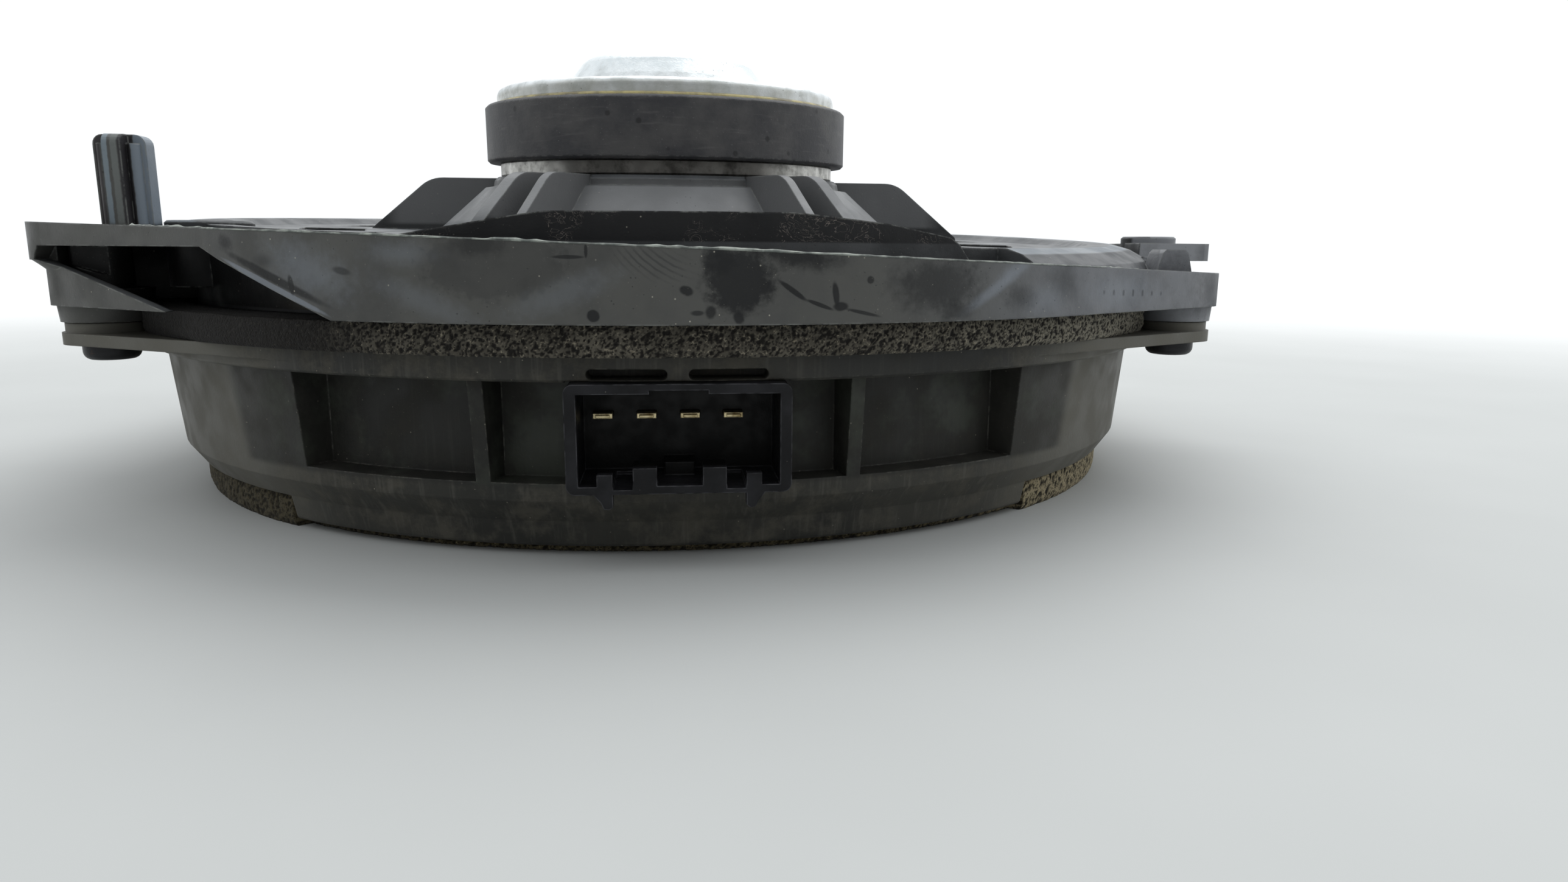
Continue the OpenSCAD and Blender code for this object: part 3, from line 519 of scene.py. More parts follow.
def connector_finish():
    """Satin black housing with paler edges that are rubbed and carry a painted highlight, and a socket kept near
    black with painted shade.
    """
    look = Finish("connector_plastic")
    rounded = look.soft_edges(0.22 * MM)
    x, y, z = look.split(look.place)
    tone = look.mix(look.clouds(5, 0.4, 0.65, 4), srgb(20, 20, 22), srgb(34, 34, 37))
    grains = look.both(look.specks(0.9 * MM, 0.16), look.clouds(4, 0.45, 0.62, 2))
    tone = look.lay(tone, srgb(150, 146, 138), grains, 0.5)
    # edges rubbed and lit with a painted highlight
    rubbed = look.both(look.edges(rounded), look.clouds(1.5, 0.35, 0.6))
    tone = look.lay(tone, srgb(104, 104, 108), rubbed, 0.6)
    # painted shade inside the socket
    socket = look.both(look.step(y, -84.9 * MM, -84.0 * MM), look.within(x, (-10.2, -10.0), (11.8, 12)),
                       look.within(z, (10.15, 10.3), (20.2, 20.4)))
    tone = look.lay(tone, srgb(3, 3, 3), socket)
    shine = look.clouds(2, 0.3, 0.7, 3, 0.5, 0.34, 0.55)
    relief = look.noise(0.25 * MM, 2)
    return look.set(Base_Color=tone, Roughness=shine, Normal=look.bump(relief, 0.015 * MM, rounded),
                    Specular_IOR_Level=0.2)


def metal_finish(name, base, stain, rough, size):
    """Metal with a stain that gathers in blotches."""
    look = Finish(name)
    blotch = look.step(look.noise(size, 5, 0.6), 0.42, 0.66)
    tone = look.mix(blotch, base, stain)
    rounded = look.soft_edges(0.15 * MM)
    relief = look.noise(0.2 * MM, 3, 0.6)
    return look.set(Base_Color=tone, Metallic=1.0, Roughness=look.step(blotch, 0, 1, rough, rough + 0.18),
                    Normal=look.bump(relief, 0.02 * MM, rounded))


def plate_finish():
    """Plain steel under the magnet: darkened by dust and painted shade in front, and bright at the sides with a
    painted reflection.
    """
    look = Finish("plate_steel")
    rounded = look.soft_edges(0.15 * MM)
    x = look.split(look.place)[0]
    # a dark tone, partly dust and partly painted shade from the magnet above
    tone = look.mix(look.clouds(4, 0.4, 0.66, 5, 0.65), srgb(104, 102, 98), srgb(62, 60, 57))
    # painted reflection of the white surroundings at both sides
    bright = look.step(look.math("ABSOLUTE", x), 13 * MM, 23 * MM)
    patchy = look.clouds(2, 0.34, 0.6, 4, 0.7, 0.4, 1.0)
    tone = look.lay(tone, srgb(206, 205, 200), bright, patchy)
    shine = look.clouds(3, 0.3, 0.7, 3, 0.5, 0.35, 0.6)
    relief = look.noise(0.3 * MM, 4, 0.7)
    return look.set(Base_Color=tone, Metallic=0.8, Roughness=shine,
                    Normal=look.bump(relief, 0.03 * MM, rounded))


def ferrite_finish():
    """Ground ferrite: nearly black, with lighter grit, chips along the edges and drag marks."""
    look = Finish("ferrite")
    ring = look.around(MAGNET_R)
    rounded = look.soft_edges(0.5 * MM)
    tone = look.mix(look.clouds(8, 0.38, 0.66, 5, 0.6), srgb(52, 52, 55), srgb(74, 73, 73))
    grit = look.specks(0.7 * MM, 0.3)
    tone = look.lay(tone, srgb(112, 112, 112), grit, look.clouds(3, 0.4, 0.6), 0.5)
    drag = look.noise(1.0, 4, 0.6, look.stretch(ring, (140, 500, 1500)))
    tone = look.lay(tone, srgb(96, 95, 94), look.step(drag, 0.55, 0.7, 0.0, 0.3))
    chip = look.both(look.edges(rounded), look.clouds(1.6, 0.45, 0.6, 4, 0.7))
    tone = look.lay(tone, srgb(128, 128, 126), chip, 0.75)
    dark = look.specks(4.2 * MM, 0.28)
    tone = look.lay(tone, srgb(22, 22, 23), dark, 0.7)
    relief = look.math("ADD", look.noise(0.5 * MM, 4, 0.7), look.math("MULTIPLY", chip, -2.0))
    return look.set(Base_Color=tone, Roughness=0.55, Normal=look.bump(relief, 0.06 * MM, rounded),
                    Specular_IOR_Level=0.4)


def zinc_finish():
    """Bright zinc on the yoke, chalky on top of the bump."""
    look = Finish("yoke_zinc")
    rounded = look.soft_edges(0.4 * MM)
    z = look.split(look.place)[2]
    blotch = look.clouds(5, 0.4, 0.68, 5, 0.65)
    tone = look.mix(blotch, srgb(216, 220, 222), srgb(184, 188, 188))
    powder = look.clouds(1.2, 0.36, 0.6, 4, 0.7, 0.3, 1.0)
    chalk = look.both(look.step(z, 63.2 * MM, 66.5 * MM), powder)
    tone = look.lay(tone, srgb(212, 219, 222), chalk)
    pits = look.both(look.specks(1.1 * MM, 0.24), look.clouds(4, 0.42, 0.6))
    tone = look.lay(tone, srgb(120, 122, 122), pits, 0.6)
    # the band next to the adhesive is stained
    stain = look.clouds(6, 0.3, 0.6, 3, 0.5, 0.4, 1.0)
    tone = look.lay(tone, srgb(142, 140, 126), look.step(z, 61.8 * MM, 60.8 * MM), stain, 0.55)
    metal = look.math("SUBTRACT", 1.0, look.math("MULTIPLY", chalk, 0.6))
    relief = look.math("ADD", look.noise(0.4 * MM, 4, 0.7), look.math("MULTIPLY", pits, -1.5))
    return look.set(Base_Color=tone, Metallic=metal, Roughness=look.step(blotch, 0, 1, 0.3, 0.48),
                    Normal=look.bump(relief, 0.04 * MM, rounded))


def glue_finish():
    """Yellowed adhesive that lets a little light in."""
    look = Finish("adhesive")
    tone = look.mix(look.clouds(3, 0.4, 0.65, 4), srgb(170, 158, 104), srgb(112, 104, 76))
    return look.set(Base_Color=tone, Roughness=0.35, Subsurface_Weight=0.1, Subsurface_Scale=0.4 * MM,
                    Normal=look.bump(look.noise(0.8 * MM, 3), 0.12 * MM))


def rubber_finish():
    """Matt rubber with fine mould lines round the roll."""
    look = Finish("surround_rubber")
    out = look.split(look.around(ROLL_MIDDLE_R))[1]
    lines = look.math("SINE", look.math("MULTIPLY", out, 2 * math.pi / (0.45 * MM)))
    tone = look.mix(look.clouds(6, 0.4, 0.68, 4), srgb(30, 30, 31), srgb(52, 51, 49))
    relief = look.math("ADD", look.math("MULTIPLY", lines, 0.5), look.noise(0.5 * MM, 3))
    return look.set(Base_Color=tone, Roughness=0.62, Normal=look.bump(relief, 0.03 * MM), Sheen_Weight=0.08)


def cloth_finish():
    """Resin-stiffened open weave."""
    look = Finish("spider_cloth")
    x, y = look.split(look.place)[:2]
    pitch = 0.55 * MM
    thread = look.math("MAXIMUM", look.ribs(x, pitch), look.ribs(y, pitch))
    tone = look.mix(look.clouds(9, 0.4, 0.65), srgb(196, 160, 88), srgb(168, 130, 66))
    tone = look.lay(tone, srgb(78, 56, 26), look.step(thread, 0.75, 0.35, 0.0, 0.75))
    return look.set(Base_Color=tone, Roughness=0.72, Normal=look.bump(thread, 0.12 * MM), Sheen_Weight=0.15)


def paper_finish(name, dark, light, grain):
    """Pressed pulp with short fibres."""
    look = Finish(name)
    fibre = look.noise(1.0, 4, 0.7, look.stretch(look.place, (900, 2600, 1500), turn=(0.4, 0.2, 0.7)), 1.5)
    cross = look.noise(1.0, 4, 0.7, look.stretch(look.place, (2600, 900, 1500), turn=(0.1, 0.5, -0.5)), 1.5)
    pulp = look.math("MAXIMUM", fibre, cross)
    tone = look.mix(look.step(pulp, 0.5, 0.75), dark, light)
    return look.set(Base_Color=tone, Roughness=0.85, Normal=look.bump(pulp, grain), Specular_IOR_Level=0.25)


def copper_finish():
    """Enamelled wire wound in tight turns."""
    look = Finish("coil_copper")
    z = look.split(look.place)[2]
    turns = look.ribs(z, 0.28 * MM)
    # painted shade between the turns and a painted highlight on each turn
    tone = look.mix(turns, srgb(110, 44, 18), srgb(206, 118, 66))
    return look.set(Base_Color=tone, Metallic=1.0, Roughness=0.3, Normal=look.bump(turns, 0.1 * MM),
                    Coat_Weight=0.5)


def laminate_finish():
    """Brown paper laminate with a faint weave."""
    look = Finish("tag_laminate")
    weave = look.noise(1.0, 3, 0.6, look.stretch(look.place, (2200, 700, 900)))
    tone = look.mix(look.step(weave, 0.35, 0.7), srgb(112, 70, 34), srgb(150, 100, 54))
    rounded = look.soft_edges(0.1 * MM)
    return look.set(Base_Color=tone, Roughness=0.5, Normal=look.bump(weave, 0.03 * MM, rounded))


def screw_finish():
    """Black zinc with bare metal in the drive recess and on the rim."""
    look = Finish("screw_steel")
    rounded = look.soft_edges(0.15 * MM)
    worn = look.both(look.edges(rounded), look.clouds(0.8, 0.45, 0.6))
    tone = look.mix(worn, srgb(38, 38, 40), srgb(140, 138, 132))
    rust = look.clouds(2.2, 0.6, 0.72, 4, 0.7, 0.0, 0.6)
    tone = look.lay(tone, srgb(96, 62, 38), rust)
    relief = look.noise(0.3 * MM, 3)
    return look.set(Base_Color=tone, Metallic=0.6, Roughness=0.45,
                    Normal=look.bump(relief, 0.03 * MM, rounded))


def braid_finish():
    """Tarnished tinsel copper."""
    look = Finish("lead_braid")
    tone = look.mix(look.noise(0.8 * MM, 2), srgb(102, 65, 39), srgb(106, 67, 41))
    return look.set(Base_Color=tone, Metallic=0.9, Roughness=0.4)


# ---- meshes ----

def make_piece(name, points, faces, finish, replaces=()):
    """A smooth mesh object from arrays of points and faces."""
    mesh = bpy.data.meshes.new(name)
    mesh.from_pydata(points.reshape(-1, 3).tolist(), [], faces.reshape(-1, faces.shape[-1]).tolist())
    mesh.update()
    mesh.polygons.foreach_set("use_smooth", np.ones(len(mesh.polygons), bool))
    mesh.materials.append(finish.material)
    piece = bpy.data.objects.new(name, mesh)
    bpy.context.scene.collection.objects.link(piece)
    if replaces:
        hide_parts(*replaces)
    return piece


def carry(piece, name, values):
    """Stores one number for each point of the mesh."""
    data = piece.data.attributes.get(name) or piece.data.attributes.new(name, "FLOAT", "POINT")
    data.data.foreach_set("value", np.asarray(values, np.float32).ravel())


def grid_faces(rows, columns, close_rows=True, close_columns=True):
    """Quads between the points of a grid, stored row by row."""
    j = np.arange(rows if close_rows else rows - 1)[:, None]
    i = np.arange(columns if close_columns else columns - 1)[None, :]
    j1, i1 = (j + 1) % rows, (i + 1) % columns
    corners = [j * columns + i, j * columns + i1, j1 * columns + i1, j1 * columns + i]
    return np.stack(corners, -1).reshape(-1, 4)


def turned(radius, height, turn):
    """Points at these radii and heights, turned about +Z; turn is the angle away from the connector."""
    return np.stack([radius * np.sin(turn), -radius * np.cos(turn), height + 0 * turn], -1)


def lean(points):
    """Tilts points from the ring's axis onto the motor's axis."""
    turn = np.array(LEANING)
    return points @ turn[:3, :3].T + turn[:3, 3]


def scatter(cell, seed):
    """Three repeatable numbers from 0 to 1 for each whole-number cell."""
    n = cell.astype(np.int64)
    h = (n[..., 0] * 73856093) ^ (n[..., 1] * 19349663) ^ (n[..., 2] * 83492791) ^ (seed * 2654435761)
    numbers = []
    for _ in range(3):
        h = ((h ^ (h >> 15)) * 1274126177) & 0x7FFFFFFF
        h = h ^ (h >> 13)
        numbers.append((h & 0xFFFF) / 65536)
    return np.stack(numbers, -1)


def pores(points, size, seed):
    """How deep each point lies in a round pore, from 0 to 1; the pores are about size apart."""
    cell = np.floor(points / size)
    nearest = np.full(points.shape[:-1], 9.0)
    for dx in (-1, 0, 1):
        for dy in (-1, 0, 1):
            for dz in (-1, 0, 1):
                there = cell + (dx, dy, dz)
                chance = scatter(there, seed)
                away = np.linalg.norm(points - (there + chance) * size, axis=-1)
                nearest = np.minimum(nearest, away / (size * (0.34 + 0.3 * chance[..., 0])))
    depth = np.clip(1.2 - nearest, 0, 1)
    return depth * depth * (3 - 2 * depth)


def waves(points, size, seed):
    """Smooth noise from 0 to 1, blended between random numbers at the corners of a grid."""
    cell = np.floor(points / size)
    part = points / size - cell
    part = part * part * (3 - 2 * part)
    total = np.zeros(points.shape[:-1])
    for dx in (0, 1):
        for dy in (0, 1):
            for dz in (0, 1):
                share = 1.0
                for axis, d in enumerate((dx, dy, dz)):
                    share = share * (part[..., axis] if d else 1 - part[..., axis])
                total += share * scatter(cell + (dx, dy, dz), seed)[..., 0]
    return total


def foam_ring(name, node, finish, outer, inner, rows, columns, pore, depth, calm):
    """A foam ring with real pores in its faces, in place of a CAD node.
    outer gives the outer radius at each angle, rows counts the rows of points on the outer, upper, inner
    and lower faces, pore is the size of a pore, and calm the share of the pore depth at each point."""
    low, high = (corner.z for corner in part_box(node))
    turn = np.linspace(-math.pi, math.pi, columns, endpoint=False)[None, :]
    edge = np.array([outer(t) for t in turn[0]])[None, :]
    up, across, down, back = ((np.arange(n) / n)[:, None] for n in rows)
    # the outer face bulges a little between the mouldings that squeeze it
    crown = 0.35 * MM
    edge = edge - crown
    radius = np.concatenate([edge + crown * (1 - (2 * up - 1) ** 4), edge - (edge - inner) * across,
                             inner + 0 * edge * down, inner + (edge - inner) * back])
    height = np.concatenate([low + (high - low) * up, high + 0 * across,
                             high - (high - low) * down, low + 0 * back])
    points = turned(radius, height, turn)
    sink = np.maximum(pores(points, pore, 3), 0.8 * pores(points, pore * 0.6, 8))
    rough = waves(points, pore * 0.5, 5)
    lump = waves(points, pore * 7, 11)
    bite = depth * sink * calm(points) + 0.22 * depth * rough + 0.6 * depth * lump
    # the way out of the foam on each face, as a share of the radius and of the height
    out = np.repeat([1.0, 0.0, -1.0, 0.0], rows)[:, None]
    lift = np.repeat([0.0, -1.0, 0.0, 1.0], rows)[:, None]
    points = points - turned(out + 0 * turn, 0 * out, turn) * bite[..., None]
    points[..., 2] += bite * lift
    points[..., 2] = np.clip(points[..., 2], low, high)
    piece = make_piece(name, points, grid_faces(sum(rows), columns), finish, (node,))
    carry(piece, "pore", sink)
    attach(piece, "frame")


def gasket_edge(turn):
    """Outer radius of the flange gasket, which steps back round the ears' screws."""
    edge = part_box("flange_gasket")[1].x
    for angle in EAR_ANGLES:
        away = math.remainder(turn - math.radians(angle), 2 * math.pi)
        side = EAR_R * math.sin(away)
        if abs(side) < EAR_GAP_R and math.cos(away) > 0:
            edge = min(edge, EAR_R * math.cos(away) - math.sqrt(EAR_GAP_R ** 2 - side ** 2))
    return edge


def seal_edge(turn):
    """Outer radius of the front seal, narrower behind the apron below the connector."""
    apron_half, apron_r = math.radians(38.1), 76.7 * MM
    return apron_r if abs(turn) < apron_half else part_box("front_seal")[1].x


def gasket_calm(points):
    """The gasket's pores are clogged on its left."""
    return 0.2 + 0.8 * np.clip((points[..., 0] + 44 * MM) / (14 * MM), 0, 1)


def seal_calm(points):
    """The front seal's pores are squeezed the same all round."""
    return np.full(points.shape[:-1], 0.7)


def make_foam():
    """The gasket between the two mouldings and the seal on the front face."""
    gasket = foam_finish("gasket_foam", srgb(92, 88, 79), pore=srgb(32, 30, 28), wall_glint=srgb(150, 142, 124),
                         left=srgb(27, 26, 26), right=srgb(140, 136, 122))
    foam_ring("gasket_pores", "flange_gasket", gasket, gasket_edge, inner=79.4 * MM,
              rows=(17, 3, 2, 3), columns=2600, pore=0.56 * MM, depth=0.26 * MM, calm=gasket_calm)
    seal = foam_finish("seal_foam", srgb(96, 88, 66), pore=srgb(34, 30, 20), wall_glint=srgb(150, 138, 106),
                       left=srgb(78, 72, 56), right=srgb(182, 169, 138))
    foam_ring("seal_pores", "front_seal", seal, seal_edge, inner=69 * MM,
              rows=(13, 2, 9, 18), columns=1400, pore=0.75 * MM, depth=0.3 * MM, calm=seal_calm)


# The cone's back face in the leaning frame: its edge and its neck, and how far it sags between them.
CONE_R, CONE_NECK_R = 57 * MM, 12.95 * MM
CONE_Z, CONE_NECK_Z = 27.2 * MM, 40 * MM
CONE_SAG = 1.4 * MM


def cone_back(radius):
    """Height of the cone's back face at a radius, in the leaning frame."""
    u = (radius - CONE_NECK_R) / (CONE_R - CONE_NECK_R)
    return CONE_NECK_Z - (CONE_NECK_Z - CONE_Z) * u - CONE_SAG * u * (1 - u)


def shell_of_line(radius, height, thickness, columns):
    """A closed turned shell: a line of radius and height, and the same line below it by thickness."""
    turn = np.linspace(-math.pi, math.pi, columns, endpoint=False)[None, :]
    r = np.concatenate([radius, radius[::-1]])[:, None]
    z = np.concatenate([height, height[::-1] - thickness])[:, None]
    points = turned(r + 0 * turn, z, turn)
    return points, grid_faces(len(r), columns), r + 0 * turn


def bend_by_radius(piece, radius, fixed_r, moving_r):
    """The piece follows the frame outside fixed_r and the cone inside moving_r."""
    level = 30 * MM
    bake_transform(piece, "frame", "cone_assembly", start=(fixed_r, 0, level), end=(moving_r, 0, level))
    share = np.clip((fixed_r - radius) / (fixed_r - moving_r), 0, 1)
    carry(piece, "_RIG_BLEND", share * share * (3 - 2 * share))


def make_surround():
    """Half roll, clamped at the basket and glued under the cone's edge."""
    thickness = 0.5 * MM
    roll_r, flat_z = 5.4 * MM - thickness, 27.5 * MM
    # the flat under the cone's edge, the roll, and the flat under the clamp ring
    lap = np.linspace(53.6, 56.8, 8) * MM
    bow = np.radians(np.linspace(-180, 0, 33))
    foot = np.linspace(69, 72.4, 5) * MM
    glue_gap = 0.62 * MM
    radius = np.concatenate([lap, ROLL_MIDDLE_R + roll_r * np.cos(bow), foot])
    height = np.concatenate([cone_back(lap) - glue_gap, flat_z + roll_r * np.sin(bow), flat_z + 0 * foot])
    points, faces, r = shell_of_line(radius, height, thickness, 360)
    rubber = rubber_finish()
    piece = make_piece("surround_roll", lean(points), faces, rubber, ("surround",))
    bend_by_radius(piece, r, 67.8 * MM, 57.4 * MM)


def make_spider():
    """Corrugated cloth disc from the coil former out to its seat in the basket."""
    inner, flat, outer, middle_z = 13 * MM, 33 * MM, 35.5 * MM, 41.5 * MM
    collar, thickness = 1.2 * MM, 0.38 * MM
    ripple, folds = 0.7 * MM, 5
    radius = np.linspace(inner, outer, 90)
    u = np.clip((radius - inner - collar) / (flat - inner - collar), 0, 1)
    height = middle_z - ripple * np.sin(u * folds * 2 * math.pi)
    points, faces, r = shell_of_line(radius, height, thickness, 260)
    piece = make_piece("spider_weave", lean(points), faces, cloth_finish(), ("spider",))
    bend_by_radius(piece, r, flat, inner + collar)


def smooth_route(route, steps):
    """Points on a smooth curve through a route's own points, in this many steps from one to the next."""
    p = np.array(route)
    p = np.vstack([2 * p[0] - p[1], p, 2 * p[-1] - p[-2]])
    out = []
    for k in range(1, len(p) - 2):
        for t in np.arange(steps) / steps:
            out.append(0.5 * (2 * p[k] + (p[k + 1] - p[k - 1]) * t
                              + (2 * p[k - 1] - 5 * p[k] + 4 * p[k + 1] - p[k + 2]) * t * t
                              + (3 * p[k] - p[k - 1] - 3 * p[k + 1] + p[k + 2]) * t ** 3))
    out.append(p[-2])
    return np.array(out)


# The left lead, in mm, from its tag over the rim of the vent and down to the cone. The right lead mirrors
# it across a plane 0.3 mm left of the middle.
LEAD_ROUTE = [
    (-5.2, -66.6, 37.7), (-5.1, -65, 38.3), (-5, -63, 39), (-5, -61, 39.2), (-5, -59, 38.7),
    (-5, -57.4, 37.4), (-5.1, -56, 35.6), (-5.2, -54.2, 33.8), (-5.4, -51.5, 33), (-5.6, -47, 32.8),
    (-5.8, -43, 33.2), (-6, -39, 33.8), (-6.2, -35.5, 34.1), (-6.4, -32.6, 33.7),
]
RIGHT_LEAD_ROUTE = [(-0.6 - x, y, z) for x, y, z in LEAD_ROUTE]


def make_leads():
    """Two braided leads from the tags, through the front vent, to the back of the cone."""
    braid = braid_finish()
    dab = paper_finish("cone_paper_dab", srgb(20, 20, 21), srgb(40, 40, 41), 0.05 * MM)
    sides, strands, thick = 16, 4, 0.46 * MM
    turn_rate = 0.7 / MM                   # how far a strand winds round, in radians for each metre of lead
    for name, places in (("left", LEAD_ROUTE), ("right", RIGHT_LEAD_ROUTE)):
        route = smooth_route(places, 14) * MM
        ahead = np.gradient(route, axis=0)
        step_length = np.linalg.norm(ahead, axis=1)[:, None]
        ahead /= step_length
        across = np.array([1.0, 0, 0])
        up = np.cross(ahead, across)
        up /= np.linalg.norm(up, axis=1)[:, None]
        along = np.cumsum(step_length)[:, None] * turn_rate
        angle = np.linspace(0, 2 * math.pi, sides, endpoint=False)[None, :]
        # two sets of strands that wind opposite ways
        weave = np.maximum(np.cos(strands * (angle - along)), np.cos(strands * (angle + along)))
        r = thick * (0.9 + 0.16 * weave)
        points = (route[:, None, :] + (r * np.cos(angle))[..., None] * across
                  + (r * np.sin(angle))[..., None] * up[:, None, :])
        faces = grid_faces(len(route), sides, close_rows=False)
        node = "tinsel_lead_" + name
        piece = make_piece("lead_braid_" + name, points, faces, braid, (node,))
        fill_ends(piece)
        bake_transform(piece, "frame", "cone_assembly", start=(0, -60 * MM, 36 * MM), end=(0, -34 * MM, 36 * MM))
        make_dab("lead_dab_" + name, route[-1], dab)


def fill_ends(piece):
    """Closes the open rims of a tube."""
    work = bmesh.new()
    work.from_mesh(piece.data)
    bmesh.ops.holes_fill(work, edges=[e for e in work.edges if e.is_boundary], sides=0)
    bmesh.ops.recalc_face_normals(work, faces=work.faces)
    work.to_mesh(piece.data)
    work.free()


def make_dab(name, place, finish):
    """Lump of black adhesive that holds a lead's end on the cone."""
    rows, columns = 12, 28
    down = np.linspace(0.04, 0.96, rows)[:, None] * math.pi
    turn = np.linspace(0, 2 * math.pi, columns, endpoint=False)[None, :]
    ball = np.stack([np.sin(down) * np.cos(turn), np.sin(down) * np.sin(turn), np.cos(down) + 0 * turn], -1)
    size = np.array([2.1, 2.6, 0.95]) * MM
    lumps = 0.85 + 0.3 * waves(ball + 5, 0.7, 21)[..., None]
    tilt = np.array(Matrix.Rotation(math.radians(-14), 3, "X"))
    sink = np.array([0, 0, -0.35 * MM])
    points = (ball * size * lumps) @ tilt.T + place + sink
    piece = make_piece(name, points, grid_faces(rows, columns, close_rows=False), finish)
    fill_ends(piece)
    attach(piece, "cone_assembly")


def make_cap_bead():
    """Bead of adhesive round the edge of the dust cap."""
    columns, sides = 300, 10
    turn = np.linspace(-math.pi, math.pi, columns, endpoint=False)[None, :]
    angle = np.linspace(0, 2 * math.pi, sides, endpoint=False)[:, None]
    ring_r, sink = 17.7 * MM, 0.75 * MM
    path = turned(ring_r + 0 * turn, 0 * turn, turn)
    thick = (0.38 + 0.2 * waves(path, 3 * MM, 31)) * MM
    radius = ring_r + thick * np.cos(angle)
    height = cone_back(ring_r) - sink + 0.8 * thick * np.sin(angle)
    points = lean(turned(radius, height, turn))
    finish = paper_finish("cap_bead", srgb(16, 16, 17), srgb(30, 30, 31), 0.02 * MM)
    finish.set(Roughness=0.35)
    piece = make_piece("cap_bead", points, grid_faces(sides, columns), finish)
    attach(piece, "cone_assembly")


# The flange's sloping top plane: its normal, and its distance from the origin.
FLANGE_NORMAL = (0.03595, 0.009, 0.99931)
FLANGE_REACH = 35.06 * MM


def flange_top(x, y):
    """Height of the flange's sloping top plane."""
    return (FLANGE_REACH - FLANGE_NORMAL[0] * x - FLANGE_NORMAL[1] * y) / FLANGE_NORMAL[2]


def make_flash():
    """Thin ragged line of moulding flash along the front top edge of the skirt."""
    look = Finish("basket_flash")
    tone = look.mix(look.clouds(1.5, 0.4, 0.6), srgb(96, 102, 98), srgb(158, 164, 156))
    look.set(Base_Color=tone, Roughness=0.5)
    columns = 420
    turn = np.radians(np.linspace(-54, 46, columns))[None, :]
    edge = turned(SKIRT_R - 0.1 * MM + 0 * turn, 0 * turn, turn)
    top = flange_top(edge[..., 0], edge[..., 1])
    chip = waves(edge, 1.1 * MM, 41) * waves(edge, 5 * MM, 43)
    burr = (0.03 + 0.5 * chip ** 1.5) * MM
    # three rows: on the skirt's face, on the crest, and back on the flange
    face, crest, back = SKIRT_R + 0.03 * MM, SKIRT_R - 0.05 * MM, SKIRT_R - 0.45 * MM
    radius = np.concatenate([face - burr * 0.1, crest - burr * 0.2, back + 0 * burr])
    height = np.concatenate([top - 0.12 * MM, top + burr, top - 0.05 * MM])
    points = turned(radius, height, turn)
    faces = grid_faces(3, columns, close_columns=False)
    piece = make_piece("moulding_flash", points, faces, look)
    fill_ends(piece)
    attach(piece, "frame")


# ---- camera, light and floor ----

def make_camera():
    """A wide view from in front of the connector, turned right and looking down a little."""
    place = (0.38 * MM, -192.35 * MM, 35.7 * MM)
    yaw, pitch, roll = 0.111, 0.19, 0.007
    forward = Vector((math.sin(yaw) * math.cos(pitch), math.cos(yaw) * math.cos(pitch), -math.sin(pitch)))
    level = Vector((math.cos(yaw), -math.sin(yaw), 0))
    up = level.cross(forward)
    right = level * math.cos(roll) + up * math.sin(roll)
    up = up * math.cos(roll) - level * math.sin(roll)
    data = bpy.data.cameras.new("camera")
    data.lens = 22.92
    data.sensor_width = 36
    data.clip_start = 0.01
    data.clip_end = 50
    camera = bpy.data.objects.new("camera", data)
    turn = Matrix((right, up, -forward)).transposed().to_4x4()
    camera.matrix_world = Matrix.Translation(place) @ turn
    bpy.context.scene.collection.objects.link(camera)
    bpy.context.scene.camera = camera


def make_light():
    """One soft light above and behind the part."""
    place, target = Vector((0.15, 0.35, 0.8)), Vector((0, 0, 40 * MM))
    data = bpy.data.lights.new("overhead", "AREA")
    data.shape = "RECTANGLE"
    data.size, data.size_y = 0.9, 0.7
    data.energy = 4
    light = bpy.data.objects.new("overhead", data)
    light.location = place
    light.rotation_euler = (target - place).to_track_quat("-Z", "Y").to_euler()
    bpy.context.scene.collection.objects.link(light)


def make_sky():
    """Bright above and behind, dimmer in front, and plain white where it is seen directly."""
    world = bpy.data.worlds.new("studio")
    world.use_nodes = True
    bpy.context.scene.world = world
    tree = world.node_tree
    sky = tree.nodes["Background"]
    sky.inputs["Color"].default_value = (0.96, 0.985, 1.0, 1)
    place = tree.nodes.new("ShaderNodeTexCoord")
    toward = tree.nodes.new("ShaderNodeVectorMath")
    toward.operation = "DOT_PRODUCT"
    bright_side = (0.12, 0.62, 0.77)
    toward.inputs[1].default_value = bright_side
    tree.links.new(place.outputs["Generated"], toward.inputs[0])
    strength = tree.nodes.new("ShaderNodeMapRange")
    strength.interpolation_type = "SMOOTHSTEP"
    for name, value in (("From Min", -0.75), ("From Max", 0.85), ("To Min", 0.24), ("To Max", 1.3)):
        strength.inputs[name].default_value = value
    tree.links.new(toward.outputs["Value"], strength.inputs["Value"])
    seen = tree.nodes.new("ShaderNodeLightPath")
    choose = tree.nodes.new("ShaderNodeMix")
    tree.links.new(seen.outputs["Is Camera Ray"], choose.inputs[0])
    tree.links.new(strength.outputs["Result"], choose.inputs[2])
    seen_strength = 1.05
    choose.inputs[3].default_value = seen_strength
    tree.links.new(choose.outputs[0], sky.inputs["Strength"])


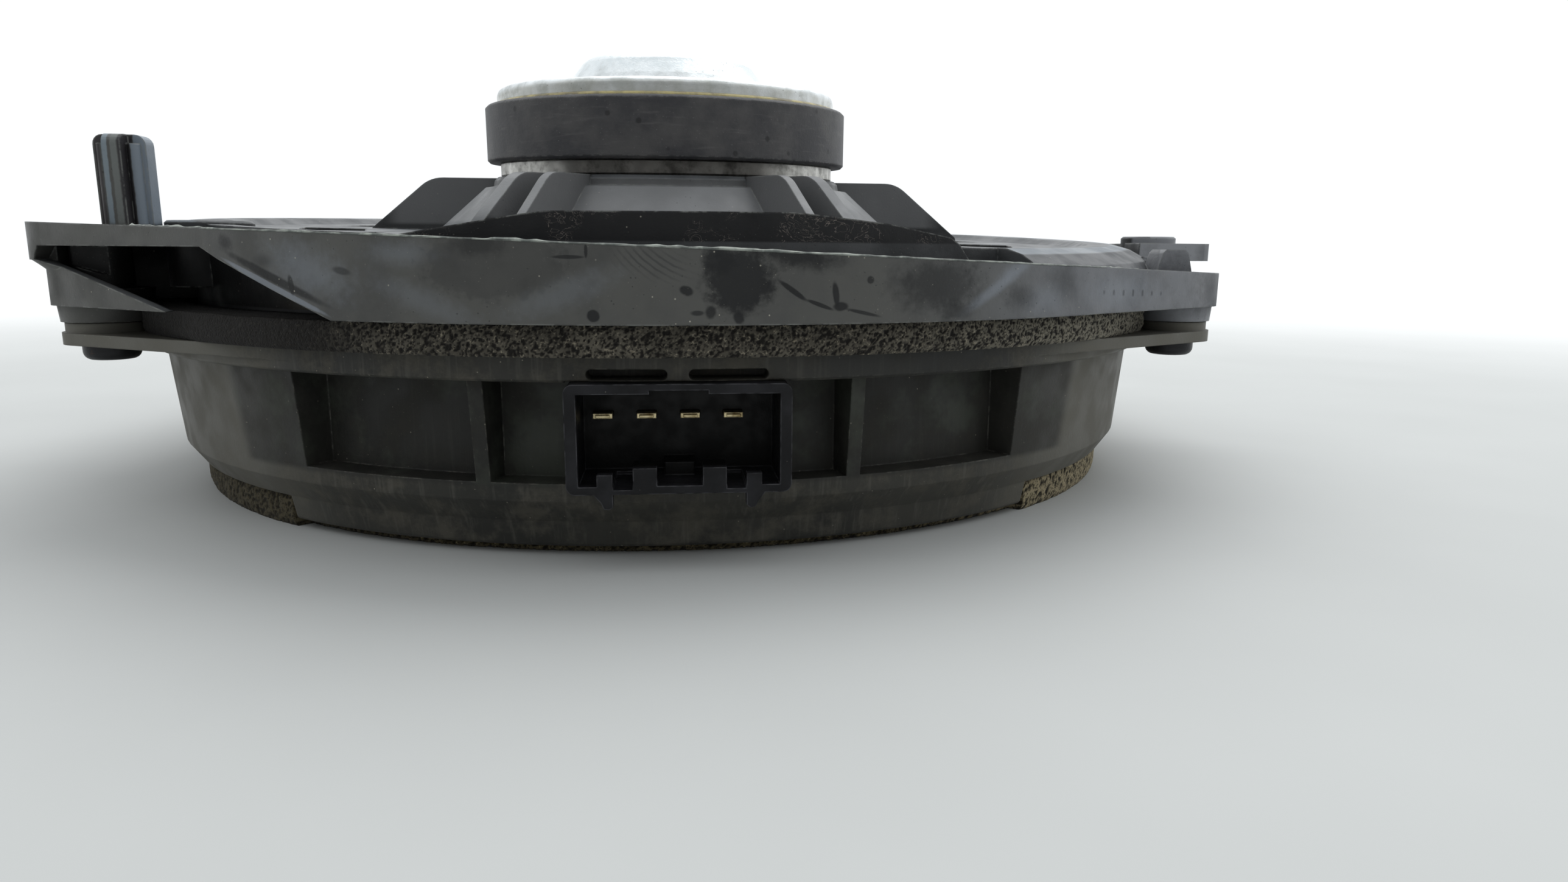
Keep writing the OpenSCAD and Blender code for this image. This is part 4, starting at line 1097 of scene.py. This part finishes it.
def make_floor():
    """A pale painted floor that fades to white away from the part."""
    half = 4.0
    corners = [(-half, -half, 0), (half, -half, 0), (half, half, 0), (-half, half, 0)]
    mesh = bpy.data.meshes.new("floor")
    mesh.from_pydata(corners, [], [(0, 1, 2, 3)])
    floor = bpy.data.objects.new("floor", mesh)
    bpy.context.scene.collection.objects.link(floor)
    look = Finish("floor_paint")
    tone = look.mix(look.noise(50 * MM, 4), srgb(178, 180, 179), srgb(188, 190, 189))
    # the floor lies at z = 0, so this is the distance from the part's axis
    far = look.step(look.length(look.place), 0.16, 0.8)
    tone = look.lay(tone, srgb(250, 250, 250), far)
    look.set(Base_Color=tone, Roughness=0.7, Specular_IOR_Level=0.2)
    mesh.materials.append(look.material)


make_camera()
make_sky()
make_floor()
make_light()
bpy.context.scene.view_settings.view_transform = "Standard"

coat(basket_finish(), "basket")
coat(ring_finish(), "spacer_ring")
coat(connector_finish(), "connector_housing")
coat(metal_finish("terminal_brass", srgb(214, 200, 160), srgb(160, 140, 96), 0.3, 2 * MM),
     "terminal_1", "terminal_2", "terminal_3", "terminal_4")
coat(screw_finish(), "joining_screws")
coat(plate_finish(), "top_plate")
coat(metal_finish("rivet_steel", srgb(178, 176, 170), srgb(120, 116, 108), 0.34, 2 * MM), "landing_rivets")
coat(ferrite_finish(), "magnet")
coat(zinc_finish(), "yoke")
coat(glue_finish(), "glue_bead")
coat(paper_finish("ring_board", srgb(52, 46, 38), srgb(84, 76, 62), 0.05 * MM), "surround_ring")
coat(paper_finish("cone_paper", srgb(30, 30, 32), srgb(58, 58, 60), 0.06 * MM), "cone")
coat(paper_finish("cap_paper", srgb(26, 26, 27), srgb(44, 44, 45), 0.03 * MM), "dust_cap")
coat(paper_finish("former_paper", srgb(150, 118, 70), srgb(196, 164, 108), 0.03 * MM), "coil_former")
coat(copper_finish(), "voice_coil")
coat(laminate_finish(), "tag_board")
coat(metal_finish("tag_tin", srgb(206, 200, 180), srgb(150, 138, 110), 0.3, 1.5 * MM),
     "tag_rivets", "solder_tag_left", "solder_tag_right")
coat(metal_finish("solder", srgb(190, 192, 196), srgb(150, 150, 150), 0.22, 1 * MM), "solder_joints")

make_foam()
make_surround()
make_spider()
make_leads()
make_cap_bead()
make_flash()
